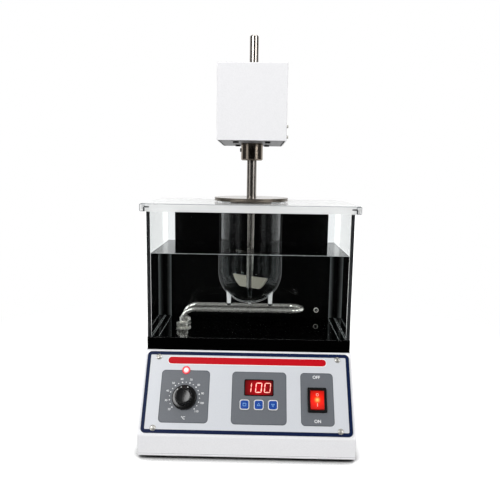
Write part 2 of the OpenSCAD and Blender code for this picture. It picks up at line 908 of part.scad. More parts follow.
// A lead's gland through a sheet wall: hexagon, dome and rubber insert in one
module gland(wall) {
    difference() {
        union() {
            rotate([-90, 0, 0]) hex_nut(2 * gland_r + 4, 4);
            rod_y(gland_r, 4, gland_h);
            rod_y(gland_r - 1, -wall - 4, 0);
        }
        rod_y(gland_hole_r, -wall - 4 - past, gland_h + past);
    }
}

module lead_gland() {
    color(black) translate([gland_x, back_y, gland_z]) gland(sheet_t);
}

module tank_base() {
    color(black) difference() {
        block_at([tank_w, tank_d, plinth_h], z_deck);
        block_at([tank_w - 2 * plinth_wall_t, tank_d - 2 * plinth_wall_t,
                  plinth_h - floor_t + past], z_deck - past);
        for (sy = [-1, 1])
            translate([-heater_fitting_x, sy * heater_half, z_floor - floor_t - past])
                cylinder(r = sleeve_r + hole_gap, h = floor_t + 2 * past, $fn = small);
    }
}

module drain_line() {
    translate([drain_x, 0, z_drain]) children();
}

module tank_walls() {
    color(clear) difference() {
        union() {
            for (sy = [-1, 1])
                translate([0, sy * (tank_d - wall_t) / 2, 0])
                    block_at([tank_w, wall_t, tank_wall_h], z_floor);
            for (sx = [-1, 1])
                translate([sx * (tank_w - wall_t) / 2, 0, 0])
                    block_at([wall_t, tank_d - 2 * wall_t, tank_wall_h], z_floor);
        }
        drain_line() rod_y(drain_shank_r + hole_gap, 0, tank_d / 2 + past);
    }
}

module tank_back_sheet() {
    color(black) difference() {
        translate([0, (tank_d + back_sheet_t) / 2, 0]) {
            block_at([back_sheet_w, back_sheet_t, tank_wall_h - back_sheet_drop], z_floor);
            block_at([tank_w - 2 * back_sheet_low_in, back_sheet_t, back_sheet_low_h], z_floor);
        }
        drain_line() rod_y(drain_shank_r + hole_gap, 0, tank_d);
    }
}

// A quarter or half of a ring of tube, standing in X and Y
module tube_bend(r, a) {
    rotate_extrude(angle = a, $fn = fine) translate([r, 0]) circle(heater_r, $fn = small);
}

module heater_tube() {
    turn_x = heater_end_x - heater_r - heater_half;
    level_x = -heater_fitting_x + heater_bend_r;
    z_low = z_floor - heater_tail;
    color(steel) {
        for (sy = [-1, 1]) translate([0, sy * heater_half, 0]) {
            translate([-heater_fitting_x, 0, z_low])
                cylinder(r = heater_r, h = z_heater - heater_bend_r - z_low, $fn = small);
            translate([level_x, 0, z_heater - heater_bend_r])
                rotate([90, 0, 0]) rotate(90) tube_bend(heater_bend_r, 90);
            translate([level_x, 0, z_heater]) rotate([0, 90, 0])
                cylinder(r = heater_r, h = turn_x - level_x, $fn = small);
        }
        translate([turn_x, 0, z_heater]) rotate(-90) tube_bend(heater_half, 180);
    }
}

module heater_fittings() {
    nose_z = nut_z + heater_nut_h;
    color(steel) for (sy = [-1, 1])
        translate([-heater_fitting_x, sy * heater_half, z_floor]) {
            difference() {
                union() {
                    translate([0, 0, -heater_tail + past])
                        cylinder(r = sleeve_r, h = heater_tail - past + nose_z, $fn = small);
                    cylinder(r = washer_r, h = washer_h, $fn = fine);
                    translate([0, 0, nut_z]) hex_nut(heater_nut_d, heater_nut_h);
                    translate([0, 0, nose_z])
                        cylinder(r = sleeve_r, h = gland_nose_h - 0.5, $fn = small);
                }
                translate([0, 0, -heater_tail])
                    cylinder(r = heater_r, h = heater_tail + nose_z + gland_nose_h, $fn = small);
            }
            translate([0, 0, -floor_t - 4]) difference() {
                hex_nut(heater_nut_d, 4);
                translate([0, 0, -past]) cylinder(r = sleeve_r, h = 4 + 2 * past, $fn = small);
            }
        }
}

module drain_fitting() {
    inner = tank_d / 2 - wall_t;
    outer = tank_d / 2 + back_sheet_t;
    color(steel) drain_line() difference() {
        union() {
            rod_y(drain_flange_r, inner - drain_flange_t, inner);
            rod_y(drain_shank_r, inner, outer + drain_nut_h + 8);
            translate([0, outer, 0]) rotate([-90, 0, 0]) hex_nut(drain_nut_d, drain_nut_h);
        }
        rod_y(drain_bore_r, 0, tank_d);
    }
}

valve_y = tank_d / 2 + back_sheet_t + drain_nut_h + valve_gap;
stem_y = valve_y + valve_l * 0.6;

module drain_valve() {
    tip_y = valve_y + valve_l + barb_l;
    color("gold") drain_line() difference() {
        union() {
            rod_y(valve_r, valve_y, valve_y + valve_l);
            rod_y(barb_r, valve_y + valve_l, tip_y);
            translate([0, valve_y + valve_l + 2, 0]) rotate([-90, 0, 0])
                for (i = [0:1]) translate([0, 0, 3.5 * i])
                    cylinder(r1 = barb_r + 0.9, r2 = barb_r, h = 3.5, $fn = small);
            translate([0, stem_y, 0])
                cylinder(r = stem_boss_r, h = valve_r + stem_boss_h, $fn = small);
        }
        rod_y(drain_shank_r, valve_y - past, valve_y + 7);
        rod_y(drain_bore_r, valve_y, tip_y + past);
        translate([0, stem_y, -stem_low])
            cylinder(r = stem_r + running_gap, h = stem_low + valve_r + stem_boss_h + past,
                     $fn = small);
    }
}

module drain_lever() {
    top = valve_r + stem_boss_h;
    color([0.7, 0.1, 0.1]) drain_line() translate([0, stem_y, 0]) difference() {
        union() {
            translate([0, 0, running_gap - stem_low])
                cylinder(r = stem_r, h = stem_low + top + lever_t, $fn = small);
            translate([0, 0, top + edge_gap]) {
                cylinder(r = stem_boss_r + 0.8, h = lever_t, $fn = small);
                translate([-lever_l, -lever_w / 2, 0]) cube([lever_l, lever_w, lever_t]);
            }
        }
        rotate([0, 90, 0]) cylinder(r = drain_bore_r, h = 4 * stem_r, center = true, $fn = small);
    }
}

module tank_lid() {
    color(clear) translate([0, 0, z_lid]) difference() {
        translate([0, 0, lid_t - lid_h]) linear_extrude(lid_h)
            round_rect(lid_w, lid_d, lid_corner_r);
        translate([0, 0, lid_t - lid_h - past]) linear_extrude(lid_h - lid_t + past)
            round_rect(lid_w - 2 * skirt_t, lid_d - 2 * skirt_t, lid_corner_r - skirt_t);
        translate([0, 0, -past]) cylinder(r = lid_hole_r, h = lid_t + 2 * past, $fn = fine);
        translate([0, 0, z_flange - seat_gap - z_lid])
            cylinder(r = recess_r, h = lid_t, $fn = fine);
    }
}

module foot_spots() {
    for (a = foot_angles) rotate(a) translate([foot_ring_r, 0, 0]) children();
}

module vessel() {
    peg_z = z_foot_tip + foot_cap_h;
    color(glass) difference() {
        union() {
            translate([0, 0, z_ball])
                cylinder(r = vessel_r, h = z_flange_top - z_ball, $fn = fine);
            translate([0, 0, z_ball]) sphere(vessel_r, $fn = fine);
            translate([0, 0, z_flange]) cylinder(r = flange_r, h = flange_t, $fn = fine);
            translate([0, 0, z_vessel - pip_h])
                cylinder(r1 = pip_r - 1, r2 = pip_r, h = pip_h + 1, $fn = small);
            foot_spots() translate([0, 0, peg_z])
                cylinder(r1 = glass_tip_r, r2 = glass_foot_r, h = vessel_r * 0.46, $fn = small);
        }
        translate([0, 0, z_ball])
            cylinder(r = vessel_r - glass_t, h = z_flange_top - z_ball + past, $fn = fine);
        translate([0, 0, z_ball]) sphere(vessel_r - glass_t, $fn = fine);
    }
}

module vessel_foot_caps() {
    color(black) foot_spots() translate([0, 0, z_foot_tip])
        cylinder(r1 = glass_tip_r - 0.4, r2 = glass_tip_r + 0.4, h = foot_cap_h, $fn = small);
}

module vessel_cover() {
    color(steel) translate([0, 0, z_cover]) difference() {
        union() {
            cylinder(r = cover_r, h = cover_edge_h, $fn = fine);
            cylinder(r = cover_r - groove_depth, h = cover_t, $fn = fine);
            translate([0, 0, cover_t - cover_edge_h])
                cylinder(r = cover_r, h = cover_edge_h, $fn = fine);
            translate([0, 0, -plug_h]) cylinder(r = plug_r, h = plug_h + past, $fn = fine);
        }
        translate([0, 0, -plug_h - past])
            cylinder(r = cover_hole_r, h = plug_h + cover_t + 2 * past, $fn = small);
    }
}

module on_post() {
    translate([0, post_y, 0]) children();
}

module post_foot() {
    color(steel) on_post() difference() {
        block_at(foot_block, z_deck);
        translate([0, 0, z_deck - past]) {
            cylinder(r = post_r, h = foot_block[2] + 2 * past, $fn = fine);
            for (sx = [-1, 1]) translate([sx * foot_block_screw_x, 0, 0])
                cylinder(r = foot_block_screw_r + hole_gap, h = foot_block[2] + 2 * past,
                         $fn = small);
        }
    }
}

module post_foot_screws() {
    color(steel) on_post() for (sx = [-1, 1])
        translate([sx * foot_block_screw_x, 0, z_deck]) {
            translate([0, 0, -8])
                cylinder(r = foot_block_screw_r, h = 8 + foot_block[2], $fn = small);
            translate([0, 0, foot_block[2]]) difference() {
                cylinder(r = foot_block_head_r, h = foot_block_head_h, $fn = small);
                translate([0, 0, 1]) cylinder(r = 2.2, h = foot_block_head_h, $fn = 6);
            }
        }
}

module support_post() {
    color(steel) on_post() {
        translate([0, 0, z_deck])
            cylinder(r = post_r, h = z_grip - groove_w - z_deck, $fn = fine);
        translate([0, 0, z_grip - groove_w - past])
            cylinder(r = post_r - groove_cut, h = groove_w + 2 * past, $fn = fine);
        translate([0, 0, z_grip]) cylinder(r = post_r, h = post_grip_l, $fn = fine);
        translate([0, 0, z_post_top - post_chamfer])
            cylinder(r1 = post_r, r2 = post_r - post_chamfer, h = post_chamfer, $fn = fine);
    }
}

module post_stop_ring() {
    color(steel) on_post() translate([0, 0, z_clamp - edge_gap - stop_h]) {
        difference() {
            cylinder(r = stop_r, h = stop_h, $fn = fine);
            translate([0, 0, -past]) cylinder(r = post_r, h = stop_h + 2 * past, $fn = fine);
        }
        translate([stop_r - 1, 0, stop_h / 2]) rotate([0, 90, 0])
            cylinder(r = 2.2, h = 2.6, $fn = small);
    }
}

module clamp_screw_places() {
    for (sx = [-1, 1], z = clamp_screw_z)
        translate([sx * clamp_pitch_x, head_back, z_clamp + z]) children();
}

module post_clamp() {
    color([0.15, 0.15, 0.16]) difference() {
        translate([-clamp_w / 2, head_back, z_clamp])
            cube([clamp_w, clamp_back - head_back, clamp_h]);
        on_post() translate([0, 0, z_clamp - past])
            cylinder(r = post_r + running_gap, h = clamp_h + 2 * past, $fn = fine);
        translate([0, 0, z_clamp + clamp_h / 2])
            rod_y(lock_r + running_gap, post_y, clamp_back + past);
        clamp_screw_places() rod_y(clamp_screw_r, -past, clamp_screw_l - 3);
    }
}

module clamp_screws() {
    depth = head_sheet_t + upstand_t;
    color(steel) clamp_screw_places() {
        rod_y(clamp_screw_r, -depth, clamp_screw_l - depth);
        rod_y(clamp_head_r, -depth - clamp_head_h, -depth);
    }
}

module clamp_knob() {
    color(black) translate([0, 0, z_clamp + clamp_h / 2]) {
        rod_y(lock_r, post_y + post_r + lock_gap, clamp_back + 3);
        rod_y(lock_knob_r, clamp_back + 2, clamp_back + 2 + lock_knob_h);
        for (i = [0:lobe_n - 1]) rotate([0, i * 360 / lobe_n, 0])
            translate([lock_knob_r, 0, 0])
                rod_y(lobe_r, clamp_back + 2, clamp_back + 2 + lock_knob_h);
    }
}

// The cover's own screws, on its right side
module tab_screw_places() {
    for (z = tab_screw_z)
        translate([head_w / 2, tab_y, z_frame_top + z]) rotate([0, 90, 0]) children();
}

module head_cover() {
    y0 = -head_front;
    t = head_sheet_t;
    color(paint) difference() {
        translate([-head_w / 2, y0, z_head]) cube([head_w, head_front + head_back, head_h]);
        translate([t - head_w / 2, y0 + t, z_head - past])
            cube([head_w - 2 * t, head_front + head_back - 2 * t, head_h - t + past]);
        clamp_screw_places() rod_y(clamp_screw_r + hole_gap, -2 * t, t);
        translate([head_gland_at[0], head_back - 2 * t, z_head + head_gland_at[1]])
            rod_y(gland_r - 1, 0, 3 * t);
        tab_screw_places()
            cylinder(r = cover_screw_r + hole_gap, h = 4 * t, center = true, $fn = small);
    }
}

module head_cover_screws() {
    tab = frame_gap + head_sheet_t + tab_t;
    color(steel) tab_screw_places() {
        translate([0, 0, -tab]) cylinder(r = cover_screw_r, h = tab, $fn = small);
        cylinder(r1 = cover_screw_head_r, r2 = cover_screw_head_r - 1,
                 h = cover_screw_head_h, $fn = small);
    }
}

module frame_screw_places() {
    for (sx = [-1, 1], y = frame_screw_y) translate([sx * frame_screw_x, y, z_head]) children();
}

module head_frame() {
    back = head_back - head_sheet_t;
    color([0.5, 0.5, 0.5]) difference() {
        union() {
            translate([-frame_w / 2, back - frame_d, z_head]) cube([frame_w, frame_d, frame_t]);
            translate([-frame_w / 2, back - upstand_t, z_head])
                cube([frame_w, upstand_t, upstand_h]);
            translate([(frame_w + frame_gap - tab_t) / 2, tab_y, 0])
                block_at([frame_gap + tab_t, tab_w, tab_h], z_frame_top);
        }
        translate([0, 0, z_head - past])
            cylinder(r = frame_hole_r, h = frame_t + 2 * past, $fn = fine);
        frame_screw_places() translate([0, 0, -past])
            cylinder(r = frame_screw_r, h = frame_t + 2 * past, $fn = small);
        clamp_screw_places() rod_y(clamp_screw_r, -10, past);
        tab_screw_places() cylinder(r = cover_screw_r, h = 12, center = true, $fn = small);
    }
}

module head_frame_screws() {
    color(black) frame_screw_places() {
        translate([0, 0, -frame_head_h]) difference() {
            cylinder(r = frame_head_r, h = frame_head_h, $fn = small);
            translate([0, 0, -past]) cylinder(r = 2.2, h = 1.6 + past, $fn = 6);
        }
        cylinder(r = frame_screw_r, h = frame_screw_l, $fn = small);
    }
}

bearing_z = [z_frame_top, z_frame_top + bearing_flange[2] + bearing_boss_h - bearing_h];

module bearing_block() {
    color([0.7, 0.7, 0.72]) difference() {
        union() {
            translate([0, bearing_flange_y, 0]) block_at(bearing_flange, z_frame_top);
            translate([0, 0, z_frame_top])
                cylinder(r = bearing_boss_r, h = bearing_flange[2] + bearing_boss_h, $fn = fine);
        }
        translate([0, 0, z_frame_top - past])
            cylinder(r = bearing_r - 3, h = bearing_boss_h + 20, $fn = fine);
        for (z = bearing_z) translate([0, 0, z - (z == z_frame_top ? past : 0)])
            cylinder(r = bearing_r, h = bearing_h + past, $fn = fine);
        frame_screw_places() cylinder(r = frame_screw_r, h = frame_screw_l, $fn = small);
    }
}

module shaft_bearings() {
    color(steel) for (z = bearing_z) translate([0, 0, z]) difference() {
        cylinder(r = bearing_r, h = bearing_h, $fn = fine);
        translate([0, 0, -past])
            cylinder(r = shaft_r + running_gap, h = bearing_h + 2 * past, $fn = fine);
    }
}

module drive_shaft() {
    collar_top = z_head - collar_gap;
    color(dark_steel) difference() {
        union() {
            rotate_extrude($fn = fine) translate([0, z_collar]) {
                translate([0, collar_round])
                    square([collar_r, collar_top - z_collar - collar_round]);
                square([collar_r - collar_round, collar_round + past]);
                intersection() {
                    translate([collar_r - collar_round, collar_round])
                        circle(collar_round, $fn = small);
                    square([collar_r, collar_round + past]);
                }
            }
            translate([0, 0, collar_top - past])
                cylinder(r = shaft_r, h = shaft_top - collar_top + past, $fn = fine);
        }
        translate([0, 0, z_collar - past])
            cylinder(r = spindle_r + hole_gap / 2, h = socket_l + past, $fn = fine);
        translate([0, 0, set_screw_z]) rotate([0, -90, 0])
            cylinder(r = set_screw_r, h = collar_r + past, $fn = small);
    }
}

module collar_screw() {
    color(black) translate([-spindle_r, 0, set_screw_z]) rotate([0, -90, 0]) difference() {
        cylinder(r = set_screw_r, h = collar_r + set_screw_proud - spindle_r, $fn = small);
        translate([0, 0, collar_r + set_screw_proud - spindle_r - 2])
            cylinder(r = 1.7, h = 3, $fn = 6);
    }
}

shoulder_z = z_lid - 3;

module spindle() {
    color(steel) translate([0, 0, shoulder_z])
        cylinder(r = spindle_r, h = z_collar + socket_l - shoulder_z, $fn = fine);
}

// The blade is a slice of a disc: its arc passes through the ends of both straight edges
blade_arc_mid = (blade_h * blade_h + (blade_w * blade_w - blade_foot_w * blade_foot_w) / 4)
                / (2 * blade_h);
blade_arc_r = norm([blade_foot_w / 2, blade_arc_mid]);

module paddle() {
    color([0.6, 0.59, 0.55]) {
        translate([0, 0, z_paddle]) {
            cylinder(r = rod_r, h = shoulder_z - z_paddle, $fn = fine);
            rotate(blade_turn) intersection() {
                translate([0, 0, blade_arc_mid])
                    rod_y(blade_arc_r, -blade_t / 2, blade_t / 2);
                block_at([2 * blade_arc_r, blade_t + 2, blade_h], 0);
            }
        }
    }
}

// A toothed pulley between two flanges
module toothed_pulley(r, teeth) {
    for (z = [0, pulley_h - pulley_lip])
        translate([0, 0, z]) cylinder(r = r + pulley_flange, h = pulley_lip, $fn = fine);
    translate([0, 0, pulley_lip / 2]) linear_extrude(pulley_h - pulley_lip) difference() {
        circle(r, $fn = fine);
        for (i = [0:teeth - 1]) rotate(i * 360 / teeth)
            translate([r + tooth_r / 3, 0]) circle(tooth_r, $fn = 16);
    }
}

module spindle_pulley() {
    color([0.75, 0.75, 0.77]) translate([0, 0, pulley_z]) difference() {
        toothed_pulley(spindle_pulley_r, tooth_n);
        translate([0, 0, -past]) cylinder(r = shaft_r, h = pulley_h + 2 * past, $fn = fine);
    }
}

module on_motor() {
    translate([0, motor_y, 0]) children();
}

module motor() {
    color([0.45, 0.45, 0.47]) on_motor() difference() {
        union() {
            translate([0, 0, motor_z]) cylinder(r = motor_r, h = motor_h, $fn = fine);
            translate([0, 0, motor_z + motor_h]) cylinder(r = 6, h = motor_nose_h, $fn = small);
        }
        translate([0, 0, motor_z + motor_h + motor_nose_h - motor_shaft_in])
            cylinder(r = motor_shaft_r + running_gap, h = motor_shaft_in + past, $fn = small);
    }
}

module motor_pulley() {
    low = motor_z + motor_h + motor_nose_h - motor_shaft_in + running_gap;
    color(steel) on_motor() {
        translate([0, 0, low])
            cylinder(r = motor_shaft_r, h = shaft_top - low, $fn = small);
        translate([0, 0, pulley_z])
            toothed_pulley(motor_pulley_r, round(tooth_n * motor_pulley_r / spindle_pulley_r));
    }
}

// The belt's outline: two arcs joined by their outer tangents
module belt_outline(grow) {
    a = spindle_pulley_r + grow;
    b = motor_pulley_r + grow;
    tilt = asin((a - b) / motor_y);
    circle(a, $fn = fine);
    translate([0, motor_y]) circle(b, $fn = fine);
    polygon([[a * cos(tilt), a * sin(tilt)], [b * cos(tilt), motor_y + b * sin(tilt)],
             [-b * cos(tilt), motor_y + b * sin(tilt)], [-a * cos(tilt), a * sin(tilt)]]);
}

module drive_belt() {
    color(black) translate([0, 0, pulley_z + (pulley_h - belt_w) / 2])
        linear_extrude(belt_w) difference() {
            belt_outline(edge_gap + belt_t);
            belt_outline(edge_gap);
        }
}

module speed_disc() {
    color([0.3, 0.3, 0.32]) translate([0, 0, disc_z]) difference() {
        union() {
            cylinder(r = disc_r, h = disc_t, $fn = fine);
            cylinder(r = shaft_r + 4, h = disc_t + 5, $fn = fine);
        }
        translate([0, 0, -past]) cylinder(r = shaft_r, h = disc_t + 8, $fn = fine);
        for (i = [0:slot_n - 1]) rotate(i * 360 / slot_n)
            translate([disc_r - 4, -0.6, -past]) cube([2.8, 1.2, disc_t + 2 * past]);
    }
}

module speed_sensor() {
    leg = disc_z - sensor_gap - z_frame_top - bearing_flange[2];
    fork = 2 * sensor_gap + disc_t;
    color(black) translate([0, -disc_r - 5, z_frame_top + bearing_flange[2]]) {
        block_at([10, 6, leg + fork + 3], 0);
        for (z = [leg - 3, leg + fork])
            translate([-5, 0, z]) cube([10, 8, 3]);
    }
}

module head_gland() {
    color(black) translate([head_gland_at[0], head_back, z_head + head_gland_at[1]])
        gland(head_sheet_t);
}

base_shell();
base_plate();
plate_screws();
rubber_feet();
fascia_plate();
fascia_screws();
temperature_knob();
thermostat_body();
thermostat_shaft();
lamp_body();
lamp_lens();
display_window();
display_module();
set_key();
up_key();
down_key();
keypad_board();
switch_frame();
switch_rocker();
control_board();
transformer();
power_inlet();
fuse_holder();
lead_gland();
tank_base();
tank_walls();
tank_back_sheet();
heater_tube();
heater_fittings();
drain_fitting();
drain_valve();
drain_lever();
tank_lid();
vessel();
vessel_foot_caps();
vessel_cover();
post_foot();
post_foot_screws();
support_post();
post_stop_ring();
post_clamp();
clamp_screws();
clamp_knob();
head_cover();
head_cover_screws();
head_frame();
head_frame_screws();
bearing_block();
shaft_bearings();
drive_shaft();
collar_screw();
spindle();
paddle();
spindle_pulley();
motor();
motor_pulley();
drive_belt();
speed_disc();
speed_sensor();
head_gland();
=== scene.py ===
# %% [markdown]
# # A dissolution tester in Blender
# The tester is a small laboratory instrument: a sloping console carries a clear, heated water
# bath, a round-bottomed glass hangs in the bath's lid, and a head on a rear post turns a paddle
# in it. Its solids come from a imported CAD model, which is loaded as a fixed frame. This lesson
# gives those solids their looks: real finishes, softened edges, printed markings, glass and water.
# Lengths are written in millimetres, as on a workshop drawing, and turned to metres at the end.

import json
from math import atan2, cos, degrees, pi, radians, sin

import bmesh
import bpy
from mathutils import Matrix, Vector
from mathutils.bvhtree import BVHTree

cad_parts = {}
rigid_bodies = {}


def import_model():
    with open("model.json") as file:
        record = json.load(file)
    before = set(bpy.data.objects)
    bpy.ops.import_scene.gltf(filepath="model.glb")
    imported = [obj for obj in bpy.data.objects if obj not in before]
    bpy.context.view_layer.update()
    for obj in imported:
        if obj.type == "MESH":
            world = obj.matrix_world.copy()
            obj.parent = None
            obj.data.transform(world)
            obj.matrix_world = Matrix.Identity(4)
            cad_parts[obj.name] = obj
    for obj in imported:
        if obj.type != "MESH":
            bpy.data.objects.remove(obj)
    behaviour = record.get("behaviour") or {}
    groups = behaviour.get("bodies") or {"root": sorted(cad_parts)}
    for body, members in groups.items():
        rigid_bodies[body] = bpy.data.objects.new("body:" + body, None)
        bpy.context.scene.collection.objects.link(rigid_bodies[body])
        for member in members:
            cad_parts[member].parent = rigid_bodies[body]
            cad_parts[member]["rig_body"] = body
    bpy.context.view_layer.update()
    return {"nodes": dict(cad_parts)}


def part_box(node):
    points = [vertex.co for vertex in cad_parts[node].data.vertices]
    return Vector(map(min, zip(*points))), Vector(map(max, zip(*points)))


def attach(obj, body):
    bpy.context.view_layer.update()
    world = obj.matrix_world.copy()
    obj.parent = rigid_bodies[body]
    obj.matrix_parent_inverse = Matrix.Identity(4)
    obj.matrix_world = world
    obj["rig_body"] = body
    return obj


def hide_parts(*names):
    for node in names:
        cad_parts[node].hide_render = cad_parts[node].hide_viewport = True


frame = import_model()
cad_nodes = frame["nodes"]

# %% [markdown]
# ## The camera
# A product photographer stands a little above the bath and in the middle. The place, the aim and
# the lens below were solved from the photograph's own edges, so the render can be laid over it.

# %% Camera
def shown(name, data):
    """Makes an object of its data and puts it in the scene."""
    made = bpy.data.objects.new(name, data)
    bpy.context.scene.collection.objects.link(made)
    return made


camera_data = bpy.data.cameras.new("camera")
camera_data.sensor_width = 36
camera_data.lens = 36.69
camera_data.clip_start = 0.02
camera = shown("camera", camera_data)
aim = (Matrix.Rotation(radians(0.767), 4, "Z") @ Matrix.Rotation(radians(81.575), 4, "X")
       @ Matrix.Rotation(radians(0.85), 4, "Z"))
camera.matrix_world = Matrix.Translation((0.01054, -0.85148, 0.41484)) @ aim
bpy.context.scene.camera = camera
bpy.context.scene.view_settings.view_transform = "Standard"

# %% [markdown]
# ## Small tools for materials
# Colours are picked from a screen, so they are sRGB hex values, while the renderer counts light.
# One function turns the first into the second. Another adds a shader node with its settings and
# links in one line, which keeps a material as short as its recipe, and connect feeds a node that
# is there already.

# %% Colour and node tools
def linear(hex_colour):
    """The renderer's colour for an sRGB hex value."""
    parts = [int(hex_colour[i:i + 2], 16) / 255 for i in (1, 3, 5)]
    return [p / 12.92 if p <= 0.04045 else ((p + 0.055) / 1.055) ** 2.4 for p in parts] + [1]


def connect(tree, node, inputs):
    """Feeds a node's inputs, by name or number, from values, sockets or other nodes' results."""
    for name, value in inputs.items():
        if isinstance(value, bpy.types.Node):
            value = next(socket for socket in value.outputs if socket.enabled)
        if isinstance(value, bpy.types.NodeSocket):
            tree.links.new(value, node.inputs[name])
        else:
            node.inputs[name].default_value = value


def add(tree, kind, inputs=None, **settings):
    """Adds a shader node with its settings and its inputs."""
    node = tree.nodes.new("ShaderNode" + kind)
    for name, value in settings.items():
        setattr(node, name, value)
    connect(tree, node, inputs or {})
    return node


# %% [markdown]
# ## The studio
# The backdrop is white, and camera rays see it at strength 1. Glass and polished steel are
# photographed by what they mirror, so mirrored rays see a light plan instead, one ramp over their
# direction along Y: a black flag in front, or every pane would carry a grey veil, a tall soft box
# at either side of it, which draws the bright line on upright glass and steel, dark cloth at the
# sides and overhead, and white behind. Rays that came out through a pane have a plan of their
# own, with weaker soft boxes. The soft light on the object is a plain part of white, and three
# lamps bring the rest.

# %% World
world = bpy.data.worlds.new("white_studio")
bpy.context.scene.world = world
world.use_nodes = True
tree = world.node_tree
tree.nodes.clear()
ray = add(tree, "LightPath")
way = add(tree, "SeparateXYZ", {0: add(tree, "TexCoord").outputs["Generated"]})
along = add(tree, "MapRange", {0: way.outputs["Y"], 1: -1.0, 2: 1.0})


def light_plan(stops):
    """A ramp over the direction along Y, from -1 in front to 1 behind: {direction: strength}."""
    node = add(tree, "ValToRGB", {0: along})
    node.color_ramp.interpolation = "EASE"
    while len(node.color_ramp.elements) < len(stops):
        node.color_ramp.elements.new(0.5)
    for element, (direction, strength) in zip(node.color_ramp.elements, stops.items()):
        element.position = (direction + 1) / 2
        element.color = (strength, strength, strength, 1)
    return node


mirrored = light_plan({-0.9: 0.01, -0.8: 0.08, -0.72: 0.9, -0.52: 0.9, -0.42: 0.07, 0.3: 0.07,
                       0.6: 1.0})
through = light_plan({-0.88: 0.01, -0.78: 0.05, -0.72: 0.55, -0.58: 0.55, -0.5: 0.05, -0.2: 0.05,
                      0.15: 1.0})
dark_cloth, soft_light, white_paper = (0.1, 0.1, 0.1, 1), (0.42, 0.42, 0.42, 1), (1, 1, 1, 1)
high = add(tree, "MapRange", {0: way.outputs["Z"], 1: 0.3, 2: 0.5})
mirrored = add(tree, "Mix", {0: high, 6: mirrored, 7: dark_cloth}, data_type="RGBA")
soft = add(tree, "Mix", {0: ray.outputs["Is Glossy Ray"], 6: soft_light, 7: mirrored},
           data_type="RGBA")
clear = add(tree, "Mix", {0: ray.outputs["Is Transmission Ray"], 6: soft, 7: through},
            data_type="RGBA")
seen = add(tree, "Mix", {0: ray.outputs["Is Camera Ray"], 6: clear, 7: white_paper},
           data_type="RGBA")
backdrop = add(tree, "Background", {"Color": seen, "Strength": 1.0})
add(tree, "OutputWorld", {"Surface": backdrop})

# %% [markdown]
# The floor is a plain pale table. Near the object it is really lit, so it catches the shadow
# under the console, and a little glow lifts it to the backdrop's white wherever nothing stands
# close over it. Where something does, its colour is also darkened: painted contact shadow. How
# open a spot is comes from the ambient occlusion node. Further out the floor fades into the
# white, so no horizon shows. The black flag covers it straight in front too.

# %% Floor
floor_mesh = bmesh.new()
bmesh.ops.create_grid(floor_mesh, x_segments=2, y_segments=2, size=0.9)
bmesh.ops.translate(floor_mesh, vec=(0, 0, -0.0001), verts=floor_mesh.verts)
floor_data = bpy.data.meshes.new("studio_floor")
floor_mesh.to_mesh(floor_data)
studio_floor = shown("studio_floor", floor_data)
floor_paint = bpy.data.materials.new("white_table_laminate_painted_shadow")
floor_paint.use_nodes = True
tree = floor_paint.node_tree
tree.nodes.clear()
place = add(tree, "TexCoord").outputs["Object"]
reach = add(tree, "VectorMath", {0: place}, operation="LENGTH")
far = add(tree, "MapRange", {0: reach, 1: 0.35, 2: 0.88, 3: 0.0, 4: 1.0},
          interpolation_type="SMOOTHSTEP")
lit = add(tree, "BsdfDiffuse", {"Color": linear("#BCBCBC")})
openness = add(tree, "AmbientOcclusion", {"Distance": 0.028}, samples=8).outputs["AO"]
glow = add(tree, "MapRange", {0: openness, 1: 0.5, 2: 0.95, 3: 0.0, 4: 0.6})
lift = add(tree, "Emission", {"Color": (1, 1, 1, 1), "Strength": glow})
# Painted contact shadow: where the floor is closed in, its colour darkens towards dark grey.
contact_shadow_mix = add(tree, "MapRange", {0: openness, 1: 0.25, 2: 0.75})
shade = add(tree, "Mix", {0: contact_shadow_mix, 6: linear("#2A2A2A"), 7: linear("#F4F4F4")}, data_type="RGBA")
paint = add(tree, "BsdfDiffuse", {"Color": shade})
near = add(tree, "AddShader", {0: paint, 1: lift})
white = add(tree, "Emission", {"Color": (1, 1, 1, 1), "Strength": 1.0})
faded = add(tree, "MixShader", {0: far, 1: near, 2: white})
ray = add(tree, "LightPath")
seen = add(tree, "Math", {0: ray.outputs["Is Camera Ray"], 1: ray.outputs["Is Transmission Ray"]},
           operation="MAXIMUM")
chosen = add(tree, "MixShader", {0: seen, 1: lit, 2: faded})
side = add(tree, "SeparateXYZ", {0: add(tree, "VectorMath", {0: place}, operation="NORMALIZE")})
ahead = add(tree, "MapRange", {0: side.outputs["Y"], 1: -0.4, 2: -0.6},
            interpolation_type="SMOOTHSTEP")
clear_of = add(tree, "MapRange", {0: reach, 1: 0.22, 2: 0.32})
covered = add(tree, "Math", {0: ahead, 1: clear_of}, operation="MULTIPLY")
in_mirrors = add(tree, "Math",
                 {0: ray.outputs["Is Glossy Ray"], 1: ray.outputs["Is Transmission Ray"]},
                 operation="MAXIMUM")
dark = add(tree, "Math", {0: covered, 1: in_mirrors}, operation="MULTIPLY")
black = add(tree, "Emission", {"Color": (0, 0, 0, 1), "Strength": 0.0})
flagged = add(tree, "MixShader", {0: dark, 1: chosen, 2: black})
add(tree, "OutputMaterial", {"Surface": flagged})
floor_data.materials.append(floor_paint)

# %% [markdown]
# Three soft lamps: the key stands high at the front left, a weaker one fills from the right, and
# a third hangs over the instrument to draw its upper edges.

# %% Lamps
def soft_lamp(name, place, target, size, watts):
    """A square soft box that looks at a target point, all in metres."""
    data = bpy.data.lights.new(name, "AREA")
    data.size, data.energy = size, watts
    look = (Vector(target) - Vector(place)).to_track_quat("-Z", "Y")
    shown(name, data).matrix_world = Matrix.Translation(place) @ look.to_matrix().to_4x4()


soft_lamp("key_lamp", (-1.1, -1.6, 1.5), (0, 0, 0.4), 1.1, 26)
soft_lamp("fill_lamp", (1.5, -1.3, 1.1), (0, 0, 0.4), 1.0, 13)
soft_lamp("top_lamp", (0.1, 0.3, 2.0), (0, 0, 0.3), 1.2, 11)

